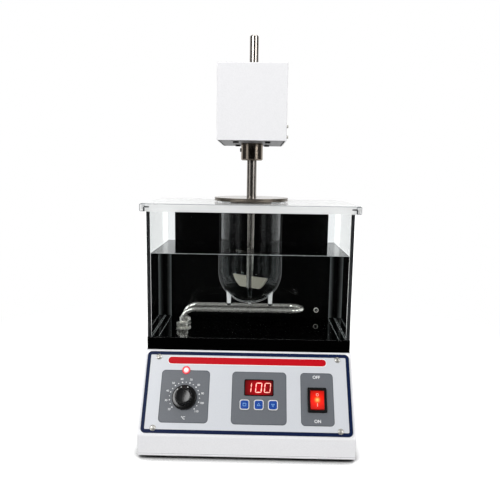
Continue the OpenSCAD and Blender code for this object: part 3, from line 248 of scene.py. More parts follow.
# %% [markdown]
# ## Finishes
# Almost every surface of an instrument is one plain stuff with a fine structure of its own:
# the skin of a powder coat, the lines of a brush, the grain of a moulding. One function makes
# such a finish: two close colours mixed by a noise of the real grain's size, a roughness that
# wanders with it, and a little relief. A stretched noise gives brushed lines.

# %% The finish maker
def new_material(name):
    """A material with its node tree, its shader and the place on the piece, in metres."""
    material = bpy.data.materials.new(name)
    material.use_nodes = True
    tree = material.node_tree
    return material, tree, tree.nodes["Principled BSDF"], add(tree, "TexCoord").outputs["Object"]


def finish(name, light, dark, grain, rough, relief=0.0, stretch=(1, 1, 1), **sockets):
    """A Principled finish. Grain and relief are in mm; rough is its lowest and highest value."""
    material, tree, shader, place = new_material(name)
    scaled = add(tree, "Mapping", {"Vector": place, "Scale": [1000 * s / grain for s in stretch]})
    noise = add(tree, "TexNoise", {"Vector": scaled, "Scale": 1.0, "Detail": 3.0, "Roughness": 0.6})
    even = add(tree, "MapRange", {0: noise, 1: 0.3, 2: 0.7})
    colour = add(tree, "Mix", {0: even, 6: linear(dark), 7: linear(light)}, data_type="RGBA")
    gloss = add(tree, "MapRange", {0: even, 3: rough[0], 4: rough[1]})
    connect(tree, shader, {"Base Color": colour, "Roughness": gloss})
    if relief:
        bump = add(tree, "Bump", {"Strength": 1.0, "Distance": relief / 1000, "Height": even})
        connect(tree, shader, {"Normal": bump})
    connect(tree, shader, {socket.replace("_", " "): value for socket, value in sockets.items()})
    return material


# %% Painted and printed metals
# Polyester powder coat, sprayed and baked: a soft shine over a fine orange peel.
white_coat = finish("powder_coat_white_baked", "#F5F5F7", "#EFEFF1", 1.6, (0.3, 0.4), 0.02, IOR=1.5)
# The same coat in grey, on the head's frame plate, and in black, on its clamp and screws.
grey_coat = finish("powder_coat_grey_baked", "#87878A", "#7B7B7E", 1.6, (0.4, 0.5), 0.02, IOR=1.5)
black_coat = finish("powder_coat_black_baked", "#141415", "#0E0E0F", 1.6, (0.35, 0.5), 0.02,
                    IOR=1.5)
# Polyester film, screen-printed and glued to a sheet: pale grey with a fine matt tooth.
fascia_film = finish("polyester_film_pale_grey", "#D2D5DA", "#CBCED3", 0.8, (0.32, 0.42), 0.003,
                     IOR=1.57)
# Screen inks lie on the film with hardly any thickness, and the deep ones shine less than it.
navy_ink = finish("screen_ink_navy", "#0A1E46", "#061436", 1.2, (0.35, 0.45), IOR=1.5,
                  Specular_IOR_Level=0.12)
# The grey also draws the lid's end outlines, which are painted shade.
grey_ink_and_painted_shade = finish("screen_ink_grey_and_painted_shade", "#686C72", "#60646A", 1.2, (0.38, 0.48), IOR=1.5)
outline_ink = finish("screen_ink_dark_grey", "#44484E", "#3B3F45", 1.2, (0.38, 0.48), IOR=1.5,
                     Specular_IOR_Level=0.12)
red_ink = finish("screen_ink_red", "#C4091A", "#B80012", 1.2, (0.35, 0.45), IOR=1.5,
                 Specular_IOR_Level=0.12)
# The white also draws the three glints on the knob's skirt, which are painted highlights.
white_ink_and_painted_glint = finish("screen_ink_white_and_painted_glint", "#F4F4F4", "#E6E8EA", 1.2, (0.35, 0.45), IOR=1.5)
pink_ink = finish("pad_print_white_over_red", "#FFC4B4", "#F8B0A0", 1.2, (0.35, 0.45), IOR=1.5)

# %% Steels and other metals
# Stainless rod, ground and buffed: bright, with faint lines round it. They run across its length,
# so the noise is drawn out along X and Y.
rod_steel = finish("stainless_steel_ground", "#B4AEA8", "#A39D97", 0.8, (0.16, 0.28),
                   stretch=(0.02, 0.02, 1), Metallic=1.0)
# Turned and faced stainless parts: bright, with a fine uneven grain.
turned_steel = finish("stainless_steel_turned", "#D3CEC8", "#C6C1BB", 0.6, (0.16, 0.26),
                      stretch=(1, 1, 0.2), Metallic=1.0)
# A darker and duller copy of the turned steel.
edge_steel = finish("stainless_steel_turned_edge", "#857E74", "#6F685F", 0.6, (0.3, 0.42),
                    Metallic=1.0)
# Drawn and polished tube of the heater, a little yellowed by its heat.
tube_steel = finish("stainless_steel_polished", "#F8F5EE", "#ECE9E2", 1.5, (0.06, 0.11),
                    Metallic=0.78)
# Its nuts are left as they come from the lathe.
fitting_steel = finish("stainless_steel_fine_turned", "#DEDBD4", "#D0CDC6", 0.8, (0.22, 0.32),
                       Metallic=0.9)
# The paddle's blade is blasted sheet, so it throws light back evenly and a little warmly.
blade_steel = finish("stainless_steel_bead_blasted", "#C9C0B0", "#BBB2A2", 0.5, (0.34, 0.44),
                     Metallic=0.62)
# Steel with a dark nickel plating, as on drive collars: a warm, dark shine.
collar_steel = finish("steel_black_nickel_plated", "#A3988C", "#8E8478", 0.6, (0.1, 0.2),
                      stretch=(0.05, 0.05, 1), Metallic=1.0)
# Zinc-plated screws and brackets: bright grey with a slightly cloudy film.
zinc = finish("steel_zinc_plated", "#CDCBC4", "#B2B0A9", 0.9, (0.22, 0.4), 0.002, Metallic=1.0)
# Nickel-plated screws: a whiter grey, and bright.
nickel = finish("steel_nickel_plated", "#D2D1CC", "#C2C0BA", 0.9, (0.22, 0.34), Metallic=0.7)
# Milled aluminium, clear anodised: pale, silky and even.
aluminium = finish("aluminium_clear_anodised", "#C9CACC", "#BCBDBF", 0.35, (0.3, 0.42), 0.002,
                   Metallic=1.0)
# Machined and tumbled brass.
brass = finish("brass_machined", "#D8B560", "#BE9A4A", 0.8, (0.2, 0.36), 0.003, Metallic=1.0)
# The transformer's core: stacked iron under a thin varnish, its sheets seen as fine lines.
iron = finish("iron_varnished_laminations", "#5B5C60", "#3E3F43", 0.8, (0.4, 0.6), 0.02,
              stretch=(0.1, 0.1, 1), Metallic=0.6)
# The motor's drawn case has a plain grey enamel.
grey_enamel = finish("steel_grey_enamel", "#8A8C90", "#7D7F83", 1.2, (0.3, 0.42), 0.008, IOR=1.5)

# %% Plastics and rubber
# ABS mouldings, polished in the mould: deep black with a clear highlight.
black_moulding = finish("abs_black_polished_mould", "#111112", "#0B0B0C", 1.4, (0.14, 0.24),
                        0.004, IOR=1.54)
# Glass-filled nylon has a fine spark-eroded grain that breaks the shine.
black_nylon = finish("nylon_black_grained", "#1B1B1C", "#121213", 0.7, (0.42, 0.6), 0.02, IOR=1.53)
# Cast black acrylic sheet: a mirror-smooth skin.
black_acrylic = finish("acrylic_sheet_black", "#030303", "#010101", 2.0, (0.03, 0.06), IOR=1.49,
                       Specular_IOR_Level=0.2)
# Black vinyl film, stuck on the back of the bath: dead matt, so it hides what is behind.
black_film = finish("vinyl_film_black_matt", "#040404", "#020202", 0.6, (0.6, 0.7), IOR=1.5,
                    Specular_IOR_Level=0.05)
# Silicone of the bath's corners, pressed flat between the panes.
# The same dark grey draws the painted shadows under the lid's hooks.
joint_and_painted_shadow = finish("silicone_joint_and_painted_shadow", "#2C2D2F", "#242527", 1.2, (0.3, 0.4), IOR=1.43,
                        Specular_IOR_Level=0.2)
# Undyed nylon: a warm off-white with a soft shine.
natural_nylon = finish("nylon_natural_moulded", "#ECEAE3", "#E0DED6", 0.9, (0.3, 0.42), 0.004,
                       IOR=1.53)
# Black rubber, moulded: dull, with a dusty grain.
# The same black serves as painted shade in the drain's bore and round its opening, under the head's
# cover and along the base plate's seam.
rubber_and_painted_shade = finish("rubber_black_moulded_and_painted_shade", "#1C1C1C", "#131313", 0.6, (0.65, 0.8), 0.02, IOR=1.52)
# Moulded ABS keys, dyed right through, so their colour is even. Their marks are printed on.
white_plastic = finish("abs_white_moulded", "#F0F1F3", "#E8E9EB", 1.0, (0.25, 0.35), 0.004,
                       IOR=1.54)
blue_plastic = finish("abs_blue_moulded", "#1B4CA4", "#143F90", 1.0, (0.2, 0.3), 0.004, IOR=1.54)
pale_blue = finish("screen_ink_pale_blue", "#7FB0E8", "#6DA0DC", 0.8, (0.3, 0.4), IOR=1.5)
# A vinyl grip, made by dipping the lever: a thick red skin with a waxy shine.
red_vinyl = finish("vinyl_red_dipped", "#B41A1A", "#9C1212", 0.9, (0.3, 0.42), 0.01, IOR=1.52)
# Epoxy boards under a green solder mask.
green_board = finish("epoxy_board_green_mask", "#1E6B3C", "#15552E", 2.5, (0.3, 0.5), 0.01,
                     IOR=1.55)
print(len(bpy.data.materials), "finishes so far")

# %% [markdown]
# ## Clear stuffs
# Acrylic and glass are the same kind of material with another index of refraction. Lamp light
# has to get through them, so their shader lets shadow rays pass, which stands for the light
# that a clear pane really carries on.

# %% Clear finishes
def clear_finish(name, tint, index, rough, veil, clarity=1.0, rim=0.0, rim_from=0.78, **sockets):
    """A clear stuff. Veil is the share of lamp light that it keeps back, from 0 to 1.

    Rim is a painted highlight: an emission where the stuff is seen edge-on, standing for
    the light that gathers in a glass's outline.
    """
    material, tree, shader, place = new_material(name)
    smear = add(tree, "TexNoise", {"Vector": place, "Scale": 18.0, "Detail": 2.0})
    gloss = add(tree, "MapRange", {0: smear, 1: 0.35, 2: 0.75, 3: rough[0], 4: rough[1]})
    connect(tree, shader, {"Roughness": gloss, "Base Color": linear(tint), "IOR": index,
                           "Transmission Weight": clarity})
    if rim:
        facing = add(tree, "LayerWeight", {"Blend": 0.5}).outputs["Facing"]
        edge = add(tree, "MapRange", {0: facing, 1: rim_from, 2: 1.0, 3: 0.0, 4: rim},
                   interpolation_type="SMOOTHSTEP")
        connect(tree, shader, {"Emission Color": (1, 1, 1, 1), "Emission Strength": edge})
    connect(tree, shader, {socket.replace("_", " "): value for socket, value in sockets.items()})
    through = add(tree, "BsdfTransparent", {"Color": [1 - veil] * 3 + [1]})
    shadow = add(tree, "LightPath").outputs["Is Shadow Ray"]
    mixed = add(tree, "MixShader", {0: shadow, 1: shader, 2: through})
    connect(tree, tree.nodes["Material Output"], {"Surface": mixed})
    return material


# Cast acrylic sheet, flame-polished at its edges.
# Its outline carries a strong painted highlight, the rim.
acrylic = clear_finish("acrylic_sheet_clear_polished", "#FAFCFC", 1.49, (0.0, 0.02), 0.1,
                       rim=0.9, rim_from=0.66, Specular_Tint=(0.5, 0.5, 0.5, 1))
# The rear pane has film laminated on it. The light passes on into the film, so the pane hardly
# mirrors.
backed_acrylic = clear_finish("acrylic_sheet_film_backed", "#F7F9FA", 1.49, (0.0, 0.02), 0.1,
                              Specular_Tint=(0.05, 0.05, 0.05, 1))
# Opal acrylic of the lid: the same sheet with a little white pigment, which scatters the light.
milky_acrylic = clear_finish("acrylic_sheet_opal", "#F6F7F7", 1.49, (0.14, 0.16), 0.3, 0.4)
# Its rounded edges get a darker copy of it: painted shade, for the dark outline of a sheet seen
# edge-on.
milky_edge_shade = clear_finish("acrylic_sheet_opal_edge_painted_shade", "#8C9092", 1.49, (0.1, 0.12), 0.3, 0.1)
# Borosilicate glass, blown and annealed. Under water it bends light far less than in air,
# because only the step from water to glass counts: 1.47 over 1.33 makes 1.10.
# Both glasses carry a painted highlight along their outline, the stronger under water.
lab_glass = clear_finish("borosilicate_glass_blown", "#FCFDFD", 1.47, (0.0, 0.01), 0.08, rim=0.07,
                         Specular_Tint=(0.27, 0.27, 0.27, 1))
wet_glass = clear_finish("borosilicate_glass_under_water", "#F4F8F8", 1.1, (0.0, 0.01), 0.05,
                         rim=0.35, Coat_Weight=0.14, Coat_Roughness=0.02)
# Clean tap water, still.
still_water = clear_finish("tap_water_still", "#FAFDFD", 1.333, (0.0, 0.0), 0.03)
# Its surface is looked at along a flat angle. It gets a dark tint, so all that is seen through it
# is darkened: painted shade.
water_top_painted_shade = clear_finish("tap_water_surface_painted_shade", "#1E2020", 1.333, (0.0, 0.0), 0.03)
# Solvent cement along the joints of a glued tank scatters a little light, so it shows as fine
# pale lines. The same pale stuff also draws two lines of painted light along the floor at the rear
# film's edges, where there is no joint.
cement_and_painted_light = clear_finish("acrylic_cement_and_painted_light", "#C8CCCC", 1.4, (0.2, 0.3), 0.2, 0.8)
# A pale, half-clear strip along the walls at the water's edge, where the water climbs them a
# little: painted reflection of the bright room.
waterline_painted_reflection = clear_finish("water_edge_painted_reflection", "#C8CCCC", 1.333, (0.2, 0.3), 0.1, 0.4)
# The vessel's feet are drawn from thick glass rod. The two in front get this whitish, nearly
# opaque glass as painted light, because they stand in the light; the back foot keeps clear glass.
foot_glass_painted_light = clear_finish("borosilicate_glass_rod_painted_light", "#FFFFFF", 1.25, (0.15, 0.25), 0.1, 0.2)

# %% [markdown]
# ## Tools for shapes
# New shapes start as bmeshes in millimetres. Much of an instrument's trim and print is a flat
# tile with round corners, or only its border, or a tile with openings. It is drawn as one face
# and then raised, which is quicker than cutting it from a block.

# %% Flat shapes
def thicken(bm, thickness):
    """Gives the flat faces of a bmesh a thickness, upwards."""
    raised = bmesh.ops.extrude_face_region(bm, geom=bm.faces[:])["geom"]
    bmesh.ops.translate(bm, vec=(0, 0, thickness),
                        verts=[v for v in raised if isinstance(v, bmesh.types.BMVert)])
    bmesh.ops.recalc_face_normals(bm, faces=bm.faces)


def join(bm, shape, at=(0, 0, 0), turn=None):
    """Moves a shape to its place and adds it to bm."""
    if turn is not None:
        bmesh.ops.transform(shape, matrix=turn, verts=shape.verts)
    bmesh.ops.translate(shape, vec=at, verts=shape.verts)
    carrier = bpy.data.meshes.new("carrier")
    shape.to_mesh(carrier)
    bm.from_mesh(carrier)
    bpy.data.meshes.remove(carrier)
    shape.free()


def tile(bm, size, corner, low, high, at=(0, 0), steps=6, frame_width=0, openings=()):
    """Adds a flat tile with round corners between two levels, or only its border.

    Openings go right through it: each has a size, a corner radius and a place.
    """
    shape = bmesh.new()
    bmesh.ops.create_grid(shape, x_segments=1, y_segments=1, size=0.5)
    bmesh.ops.scale(shape, vec=(size[0], size[1], 1), verts=shape.verts)
    if corner:
        bmesh.ops.bevel(shape, geom=shape.verts[:], offset=corner, offset_type="OFFSET",
                        segments=steps, profile=0.5, affect="VERTICES", material=-1,
                        clamp_overlap=True)
    if frame_width:
        middle = shape.faces[:]
        bmesh.ops.inset_region(shape, faces=middle, thickness=frame_width,
                               use_boundary=True, use_even_offset=True)
        bmesh.ops.delete(shape, geom=middle, context="FACES")
    for hole_size, hole_corner, place in openings:
        plug = bmesh.new()
        tile(plug, hole_size, hole_corner, 0, 1, (place[0] - at[0], place[1] - at[1]), steps)
        bmesh.ops.delete(plug, geom=[v for v in plug.verts if v.co.z > 0.5], context="VERTS")
        join(shape, plug)
    if openings:
        bmesh.ops.delete(shape, geom=shape.faces[:], context="FACES_ONLY")
        bmesh.ops.triangle_fill(shape, edges=shape.edges[:], use_beauty=True, normal=(0, 0, 1))
    thicken(shape, high - low)
    join(bm, shape, (*at, low))


# %% [markdown]
# Knobs, covers and screw heads come from a lathe, so they are profiles spun about Z. No real edge
# is quite sharp, and a softened one catches the light. Where only some edges are rounded, they
# are picked by the planes that meet in them.

# %% Turned solids and softened edges
def turned(bm, profile, steps=96, closed=False, at=(0, 0, 0), turn=None, soft=0.0):
    """Adds a turned solid: (radius, height) points spun about Z, its sharp edges softened."""
    shape = bmesh.new()
    points = [shape.verts.new((r, 0, z)) for r, z in profile]
    pairs = list(zip(points, points[1:])) + ([(points[-1], points[0])] if closed else [])
    lines = [shape.edges.new(pair) for pair in pairs]
    bmesh.ops.spin(shape, geom=points + lines, cent=(0, 0, 0), axis=(0, 0, 1), angle=2 * pi,
                   steps=steps, use_merge=True)
    bmesh.ops.remove_doubles(shape, verts=shape.verts, dist=0.001)
    bmesh.ops.delete(shape, geom=[e for e in shape.edges if not e.link_faces], context="EDGES")
    bmesh.ops.recalc_face_normals(shape, faces=shape.faces)
    if soft:
        soften(shape, soft)
    join(bm, shape, at, turn)


def soften(bm, radius, steps=3, sharper=30, choose=lambda edge: True):
    """Rounds the sharp edges that choose picks."""
    sharp = [e for e in bm.edges if len(e.link_faces) == 2
             and degrees(e.calc_face_angle()) > sharper and choose(e)]
    bmesh.ops.bevel(bm, geom=sharp, offset=radius, offset_type="OFFSET", segments=steps,
                    profile=0.5, affect="EDGES", material=-1, clamp_overlap=True)
    return len(sharp)


def cut(bm, at, normal):
    """Cuts new edges where a plane crosses the faces, and keeps both sides."""
    bmesh.ops.bisect_plane(bm, geom=bm.verts[:] + bm.edges[:] + bm.faces[:], dist=0.0001,
                           plane_co=at, plane_no=normal)


def between(*planes):
    """Picks the edges that run where two of the given planes meet: (normal, distance) in mm."""
    def test(edge):
        shared = [1 for normal, reach in planes
                  if all(abs(v.co.dot(Vector(normal)) - reach) < 0.02 for v in edge.verts)]
        return len(shared) > 1
    return test


def side_planes(low, high):
    """The planes of a box's four upright sides, for between."""
    return [((1, 0, 0), low.x), ((1, 0, 0), high.x), ((0, 1, 0), low.y), ((0, 1, 0), high.y)]


# %% [markdown]
# A CAD solid with softened edges starts as a copy of its node. The node's mesh is loose
# triangles, so the copy's doubles are merged and its flat faces made whole before any bevel.

# %% Copies of CAD nodes
def welded(node):
    """A closed copy of a CAD node in millimetres, its flat faces whole again."""
    bm = bmesh.new()
    bm.from_mesh(cad_nodes[node].data)
    bmesh.ops.scale(bm, vec=(1000, 1000, 1000), verts=bm.verts)
    bmesh.ops.remove_doubles(bm, verts=bm.verts, dist=0.001)
    bmesh.ops.dissolve_limit(bm, angle_limit=radians(0.5), verts=bm.verts, edges=bm.edges)
    return bm


def give_finishes(bm, choose):
    """Numbers each face's finish, chosen from the face's middle and its normal."""
    for face in bm.faces:
        face.material_index = int(choose(face.calc_center_median(), face.normal))


# %% [markdown]
# The last tool turns a bmesh into a finished piece: at the origin, unscaled, riding on the CAD
# body that carries it. Its shading normals follow the largest faces, so a rounded edge looks
# round while the panes beside it stay flat.


def piece(name, bm, like, *finishes, instead=True, place=None):
    """Makes bm a piece that rides and is finished like a CAD node, and stands for it if instead."""
    if place is not None:
        bmesh.ops.transform(bm, matrix=place, verts=bm.verts)
    bmesh.ops.scale(bm, vec=(0.001, 0.001, 0.001), verts=bm.verts)
    mesh = bpy.data.meshes.new(name)
    bm.to_mesh(mesh)
    open_edges = sum(not e.is_manifold for e in bm.edges)
    bm.free()
    for polygon in mesh.polygons:
        polygon.use_smooth = True
    mesh.set_sharp_from_angle(angle=radians(32))
    for material in finishes:
        mesh.materials.append(material)
    made = shown(name, mesh)
    even = made.modifiers.new("flat faces stay flat", "WEIGHTED_NORMAL")
    even.weight, even.keep_sharp = 100, True
    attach(made, cad_nodes[like]["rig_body"])
    if instead:
        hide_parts(like)
    warning = f", {open_edges} open edges" if open_edges else ""
    print(f"{name}: {len(mesh.polygons)} faces{warning}")


# %% [markdown]
# ## The console's shell
# The shell is one folded and welded sheet of steel: its outer edges have the radius of the press
# brake, about as much as the sheet is thick, and the welded side seams are dressed to the same.
# A welded copy of the CAD shell keeps every cut-out, and only the outer edges are rounded.

# %% Console shell
low, high = [1000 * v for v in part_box("base_shell")]
lip_z = 36
deck_front_y = -89.4
slope_angle = atan2(high.z - lip_z, deck_front_y - low.y)
slope_out = (0, -sin(slope_angle), cos(slope_angle))
slope_plane = (slope_out, Vector(slope_out).dot((0, low.y, lip_z)))
outside = between(*side_planes(low, high), ((0, 0, 1), high.z), slope_plane)
shell = welded("base_shell")
print("edges rounded:", soften(shell, 1.9, 4, 20, outside))
piece("console_shell_sheet", shell, "base_shell", white_coat)

# %% [markdown]
# Everything on the sloping front is drawn flat, X along it and Y up it, and then laid on it
# by one matrix.

# %% The sloping front's matrix
to_slope = Matrix.Translation((0, low.y, lip_z)) @ Matrix.Rotation(slope_angle, 4, "X")
from_slope = to_slope.inverted()
fascia_top = 1.5
print("slope:", round(degrees(slope_angle), 2), "degrees")

# %% [markdown]
# ## The printed fascia
# The fascia is a polyester film with screen-printed fields: a dark border, grey fields behind the
# controls, a red band. Ink is thin, so each colour is a thin tile of its own that lies on the
# film, in the order in which a printer lays the inks down. A field stays open where a key or a
# switch goes through, or the key would cut it as it is pressed.

# %% Printed border and fields
dial_at = Vector((-94.3, 54.4))
switch_at = (104.5, 54.4)
key_places = {"set": (-3.9, 45.8), "up": (17.3, 45.8), "down": (38.5, 45.8)}
fields = {"dial": ((-94.3, 56.5), (73.5, 77), [((16, 16), 7.9, dial_at)]),
          "display": ((17.65, 55.9), (82.3, 76.8),
                      [((15.1, 15.1), 3.8, at) for at in key_places.values()]),
          "switch": ((104.65, 55.8), (49.3, 77), [((24, 32), 1.5, switch_at)])}
ink_t = 0.06
ink_level = fascia_top + ink_t


def print_on_fascia(name, bm, ink):
    """Makes bm a print on the fascia's film."""
    piece(name, bm, "fascia_plate", ink, instead=False, place=to_slope)


border = bmesh.new()
tile(border, (311.2, 120.4), 7.0, fascia_top, ink_level, (0, 63.4), 10, frame_width=5.4)
print_on_fascia("printed_border", border, navy_ink)
outlines, greys = bmesh.new(), bmesh.new()
for at, size, openings in fields.values():
    tile(outlines, size, 6, fascia_top, ink_level, at, 8, openings=openings)
    tile(greys, (size[0] - 1.6, size[1] - 1.6), 5.2, ink_level, ink_level + ink_t, at, 8,
         openings=openings)
print_on_fascia("printed_field_outlines", outlines, outline_ink)
print_on_fascia("printed_fields", greys, grey_ink_and_painted_shade)
band = bmesh.new()
tile(band, (243, 10.5), 5.2, fascia_top, ink_level, (-1.5, 110), 10)
print_on_fascia("printed_band", band, red_ink)
band_edge = bmesh.new()
tile(band_edge, (245, 12.5), 6.2, fascia_top, ink_level, (-1.5, 110), 10, frame_width=1.0)
print_on_fascia("printed_band_edge", band_edge, white_ink_and_painted_glint)

# %% [markdown]
# The dial has a dot for every step and a number at every other one, 20 to 110, as a water bath's
# thermostat has. Letters come from Blender's own text object, made a mesh and given the ink's
# thickness before they are placed.

# %% Printed scale and words
def lettering(bm, words, height, at, low, stout):
    """Adds flat letters of a given capital height, centred at a point and thickened by stout."""
    curve = bpy.data.curves.new("lettering", "FONT")
    curve.body, curve.size, curve.offset = words, height / 0.72, stout
    curve.align_x, curve.align_y, curve.resolution_u = "CENTER", "CENTER", 3
    holder = bpy.data.objects.new("lettering", curve)
    mesh = bpy.data.meshes.new_from_object(holder)
    shape = bmesh.new()
    shape.from_mesh(mesh)
    bpy.data.objects.remove(holder)
    bpy.data.curves.remove(curve)
    bpy.data.meshes.remove(mesh)
    bmesh.ops.remove_doubles(shape, verts=shape.verts, dist=0.0001)
    thicken(shape, ink_t)
    join(bm, shape, (*at, low))


words_level = ink_level + ink_t
scale_marks = bmesh.new()
for step in range(19):
    angle = radians(219 - 14.7 * step)
    spoke = Vector((cos(angle), sin(angle)))
    dot = bmesh.new()
    bmesh.ops.create_circle(dot, cap_ends=True, segments=20, radius=0.95 if step % 2 == 0 else 0.75)
    thicken(dot, ink_t)
    join(scale_marks, dot, (*(dial_at + 22.6 * spoke), words_level))
    if step % 2 == 0:
        lettering(scale_marks, str(20 + 5 * step), 3.0, dial_at + 27.6 * spoke, words_level, 0.04)
lettering(scale_marks, "°C", 4.2, (dial_at.x, 25), words_level, 0.1)
lettering(scale_marks, "OFF", 4.6, (104.3, 87.8), words_level, 0.12)
lettering(scale_marks, "ON", 4.6, (104.5, 23.9), words_level, 0.12)
print_on_fascia("printed_scale_and_words", scale_marks, white_ink_and_painted_glint)

# %% [markdown]
# ## The temperature knob
# A moulded skirt carries three small white glints, which are painted highlights, and a fluted
# grip stands on it. The skirt is turned from a profile. The grip starts as a turned drum with a
# soft rim, and its eighteen flutes are pressed in by moving points inwards in waves round the drum.

# %% Temperature knob
def fluted(shape, count, depth, floor, top):
    """Presses flutes into a turned drum between two heights."""
    for vert in shape.verts:
        if floor < vert.co.z < top:
            wave = max(0.0, cos(count * atan2(vert.co.y, vert.co.x)) - 0.2) / 0.8
            flat = Vector((vert.co.x, vert.co.y, 0))
            if flat.length > 9:
                vert.co -= flat.normalized() * depth * wave


knob = bmesh.new()
turned(knob, [(9.6, 1.9), (18.3, 1.9), (18.5, 2.4), (18.3, 4.6), (17.2, 5.6), (13.9, 6.3),
              (9.6, 6.3)], closed=True, soft=0.25)
grip = bmesh.new()
turned(grip, [(3.02, 6.0), (13.3, 6.0), (13.1, 7.0), (12.5, 17.4), (11.9, 19.0), (10.6, 19.9),
              (9.5, 19.2), (0, 18.7), (0, 16.0), (3.02, 16.0)], steps=144, closed=True, soft=0.35)
fluted(grip, 18, 0.9, 6.5, 18.0)
join(knob, grip)
to_dial = to_slope @ Matrix.Translation((*dial_at, 0))
piece("temperature_knob_moulding", knob, "temperature_knob", black_moulding, place=to_dial)
# Three white spots on the glossy skirt: painted highlights.
knob_glints = bmesh.new()
for angle in (134, 110, 72):
    dot = bmesh.new()
    bmesh.ops.create_circle(dot, cap_ends=True, segments=20, radius=0.8)
    thicken(dot, 0.2)
    join(knob_glints, dot, (15.2 * cos(radians(angle)), 15.2 * sin(radians(angle)), 5.95))
piece("temperature_knob_painted_glints", knob_glints, "temperature_knob", white_ink_and_painted_glint, instead=False, place=to_dial)

# %% [markdown]
# ## Things that glow
# The heating lamp, the digits and the lit rocker glow, and the display's filter has a painted
# glow. A lamp's lens is brightest where its bulb is, so the glow fades with the distance from that
# point, measured in Object coordinates.

# %% Glowing finish
def glowing(name, body, glow, core, bulb, size, strength, rough=0.2, tightness=5.0):
    """A coloured plastic lit from a point: bulb in mm on the slope, size is the glow's reach."""
    material, tree, shader, place = new_material(name)
    centre = to_slope @ Vector(bulb) / 1000
    away = add(tree, "VectorMath", {0: place, 1: centre}, operation="DISTANCE")
    fade = add(tree, "MapRange", {0: away, 1: 0.0, 2: size / 1000, 3: 1.0, 4: 0.0},
               interpolation_type="SMOOTHSTEP")
    tight = add(tree, "Math", {0: fade, 1: tightness}, operation="POWER")
    colour = add(tree, "Mix", {0: tight, 6: linear(glow), 7: linear(core)}, data_type="RGBA")
    grain = add(tree, "TexNoise", {"Scale": 900.0})
    gloss = add(tree, "MapRange", {0: grain, 3: rough, 4: rough + 0.1})
    power = add(tree, "Math", {0: fade, 1: strength}, operation="MULTIPLY")
    connect(tree, shader, {"Base Color": linear(body), "IOR": 1.58, "Roughness": gloss,
                           "Emission Color": colour, "Emission Strength": power})
    return material


lamp_at, display_up = (-94.3, 95.1), 70.9
# Polycarbonate lens over a neon lamp: white in its middle, pink towards the rim.
lens_glow = glowing("polycarbonate_lens_lit", "#F4A0A0", "#FF7A80", "#FFFFFF",
                    (*lamp_at, 3), 9, 1.6)
bezel_glow = glowing("polycarbonate_bezel_red_lit", "#D8323C", "#FF5560", "#FF9AA0",
                     (*lamp_at, 2), 9, 0.6)
# Smoked red acrylic over the digits. Its glow, fading from the middle towards its edges, is
# painted light.
window_red_painted_glow = glowing("acrylic_filter_red_painted_glow", "#4A0206", "#C80010", "#C80010",
                     (17, display_up, 1), 27, 0.75, 0.08)
digit_light = glowing("led_segments_lit", "#FF8878", "#FF8A7C", "#FFD2C6",
                      (18, display_up, 2), 60, 1.1)
# Clear red polycarbonate rocker with a lamp behind its middle.
rocker_glow = glowing("polycarbonate_rocker_lit", "#B80E04", "#F01C06", "#FFE070",
                      (*switch_at, 5), 19, 0.95, tightness=16.0)

# %% Heating lamp
lens = bmesh.new()
turned(lens, [(0, 3.9), (1.6, 3.75), (3.0, 3.3), (4.0, 2.5), (4.3, 1.6), (4.3, 1.2), (0, 1.2)],
       steps=64, soft=0.1)
piece("heating_lamp_lens", lens, "lamp_lens", lens_glow,
      place=to_slope @ Matrix.Translation((*lamp_at, 0)))

# %% [markdown]
# ## The display
# Three digits of seven bars shine through a red filter. Here a lit bar is a thin six-sided tile
# that lies on the filter, and the number leans a little to the right, as such digits do. It
# reads 100.

# %% Display window and digits
window = welded("display_window")
soften(window, 0.3, 2)
piece("display_filter", window, "display_window", window_red_painted_glow)
window_edge = bmesh.new()
tile(window_edge, (44.4, 24.4), 2.4, ink_level, fascia_top + 0.26, (17.3, display_up),
     frame_width=1.5)
piece("display_window_edge", window_edge, "display_window", black_film, instead=False,
      place=to_slope)
digits = bmesh.new()
bar_places = {"a": (0, 1, 0), "b": (1, 0.5, 90), "c": (1, -0.5, 90), "d": (0, -1, 0),
              "e": (-1, -0.5, 90), "f": (-1, 0.5, 90), "g": (0, 0, 0)}
half_w, half_h, bar_w = 4.2, 6.8, 1.5
for centre, lit_bars in ((1.4, "bc"), (17.0, "abcdef"), (30.3, "abcdef")):
    for bar in lit_bars:
        x, y, turn = bar_places[bar]
        length = 2 * half_w if turn == 0 else half_h
        shape = bmesh.new()
        bmesh.ops.create_circle(shape, cap_ends=True, segments=6, radius=bar_w / 2)
        for side in (-1, 1):
            bmesh.ops.translate(shape, vec=(side * (length / 2 - bar_w * 0.62), 0, 0),
                                verts=[v for v in shape.verts if side * v.co.x > 0.01])
        thicken(shape, 0.08)
        join(digits, shape, (centre + x * half_w, y * half_h, 0),
             Matrix.Rotation(radians(turn), 4, "Z"))
for vert in digits.verts:
    vert.co.x += 0.1 * vert.co.y
piece("display_digits", digits, "display_window", digit_light, instead=False,
      place=to_slope @ Matrix.Translation((0, display_up, fascia_top + 0.21)))

# %% [markdown]
# ## Keys
# Each key is a white moulding with a blue cap set into it and a pale mark on the cap: a square
# to enter, and two arrows. Key, cap and mark ride on the same body, so they go down together.

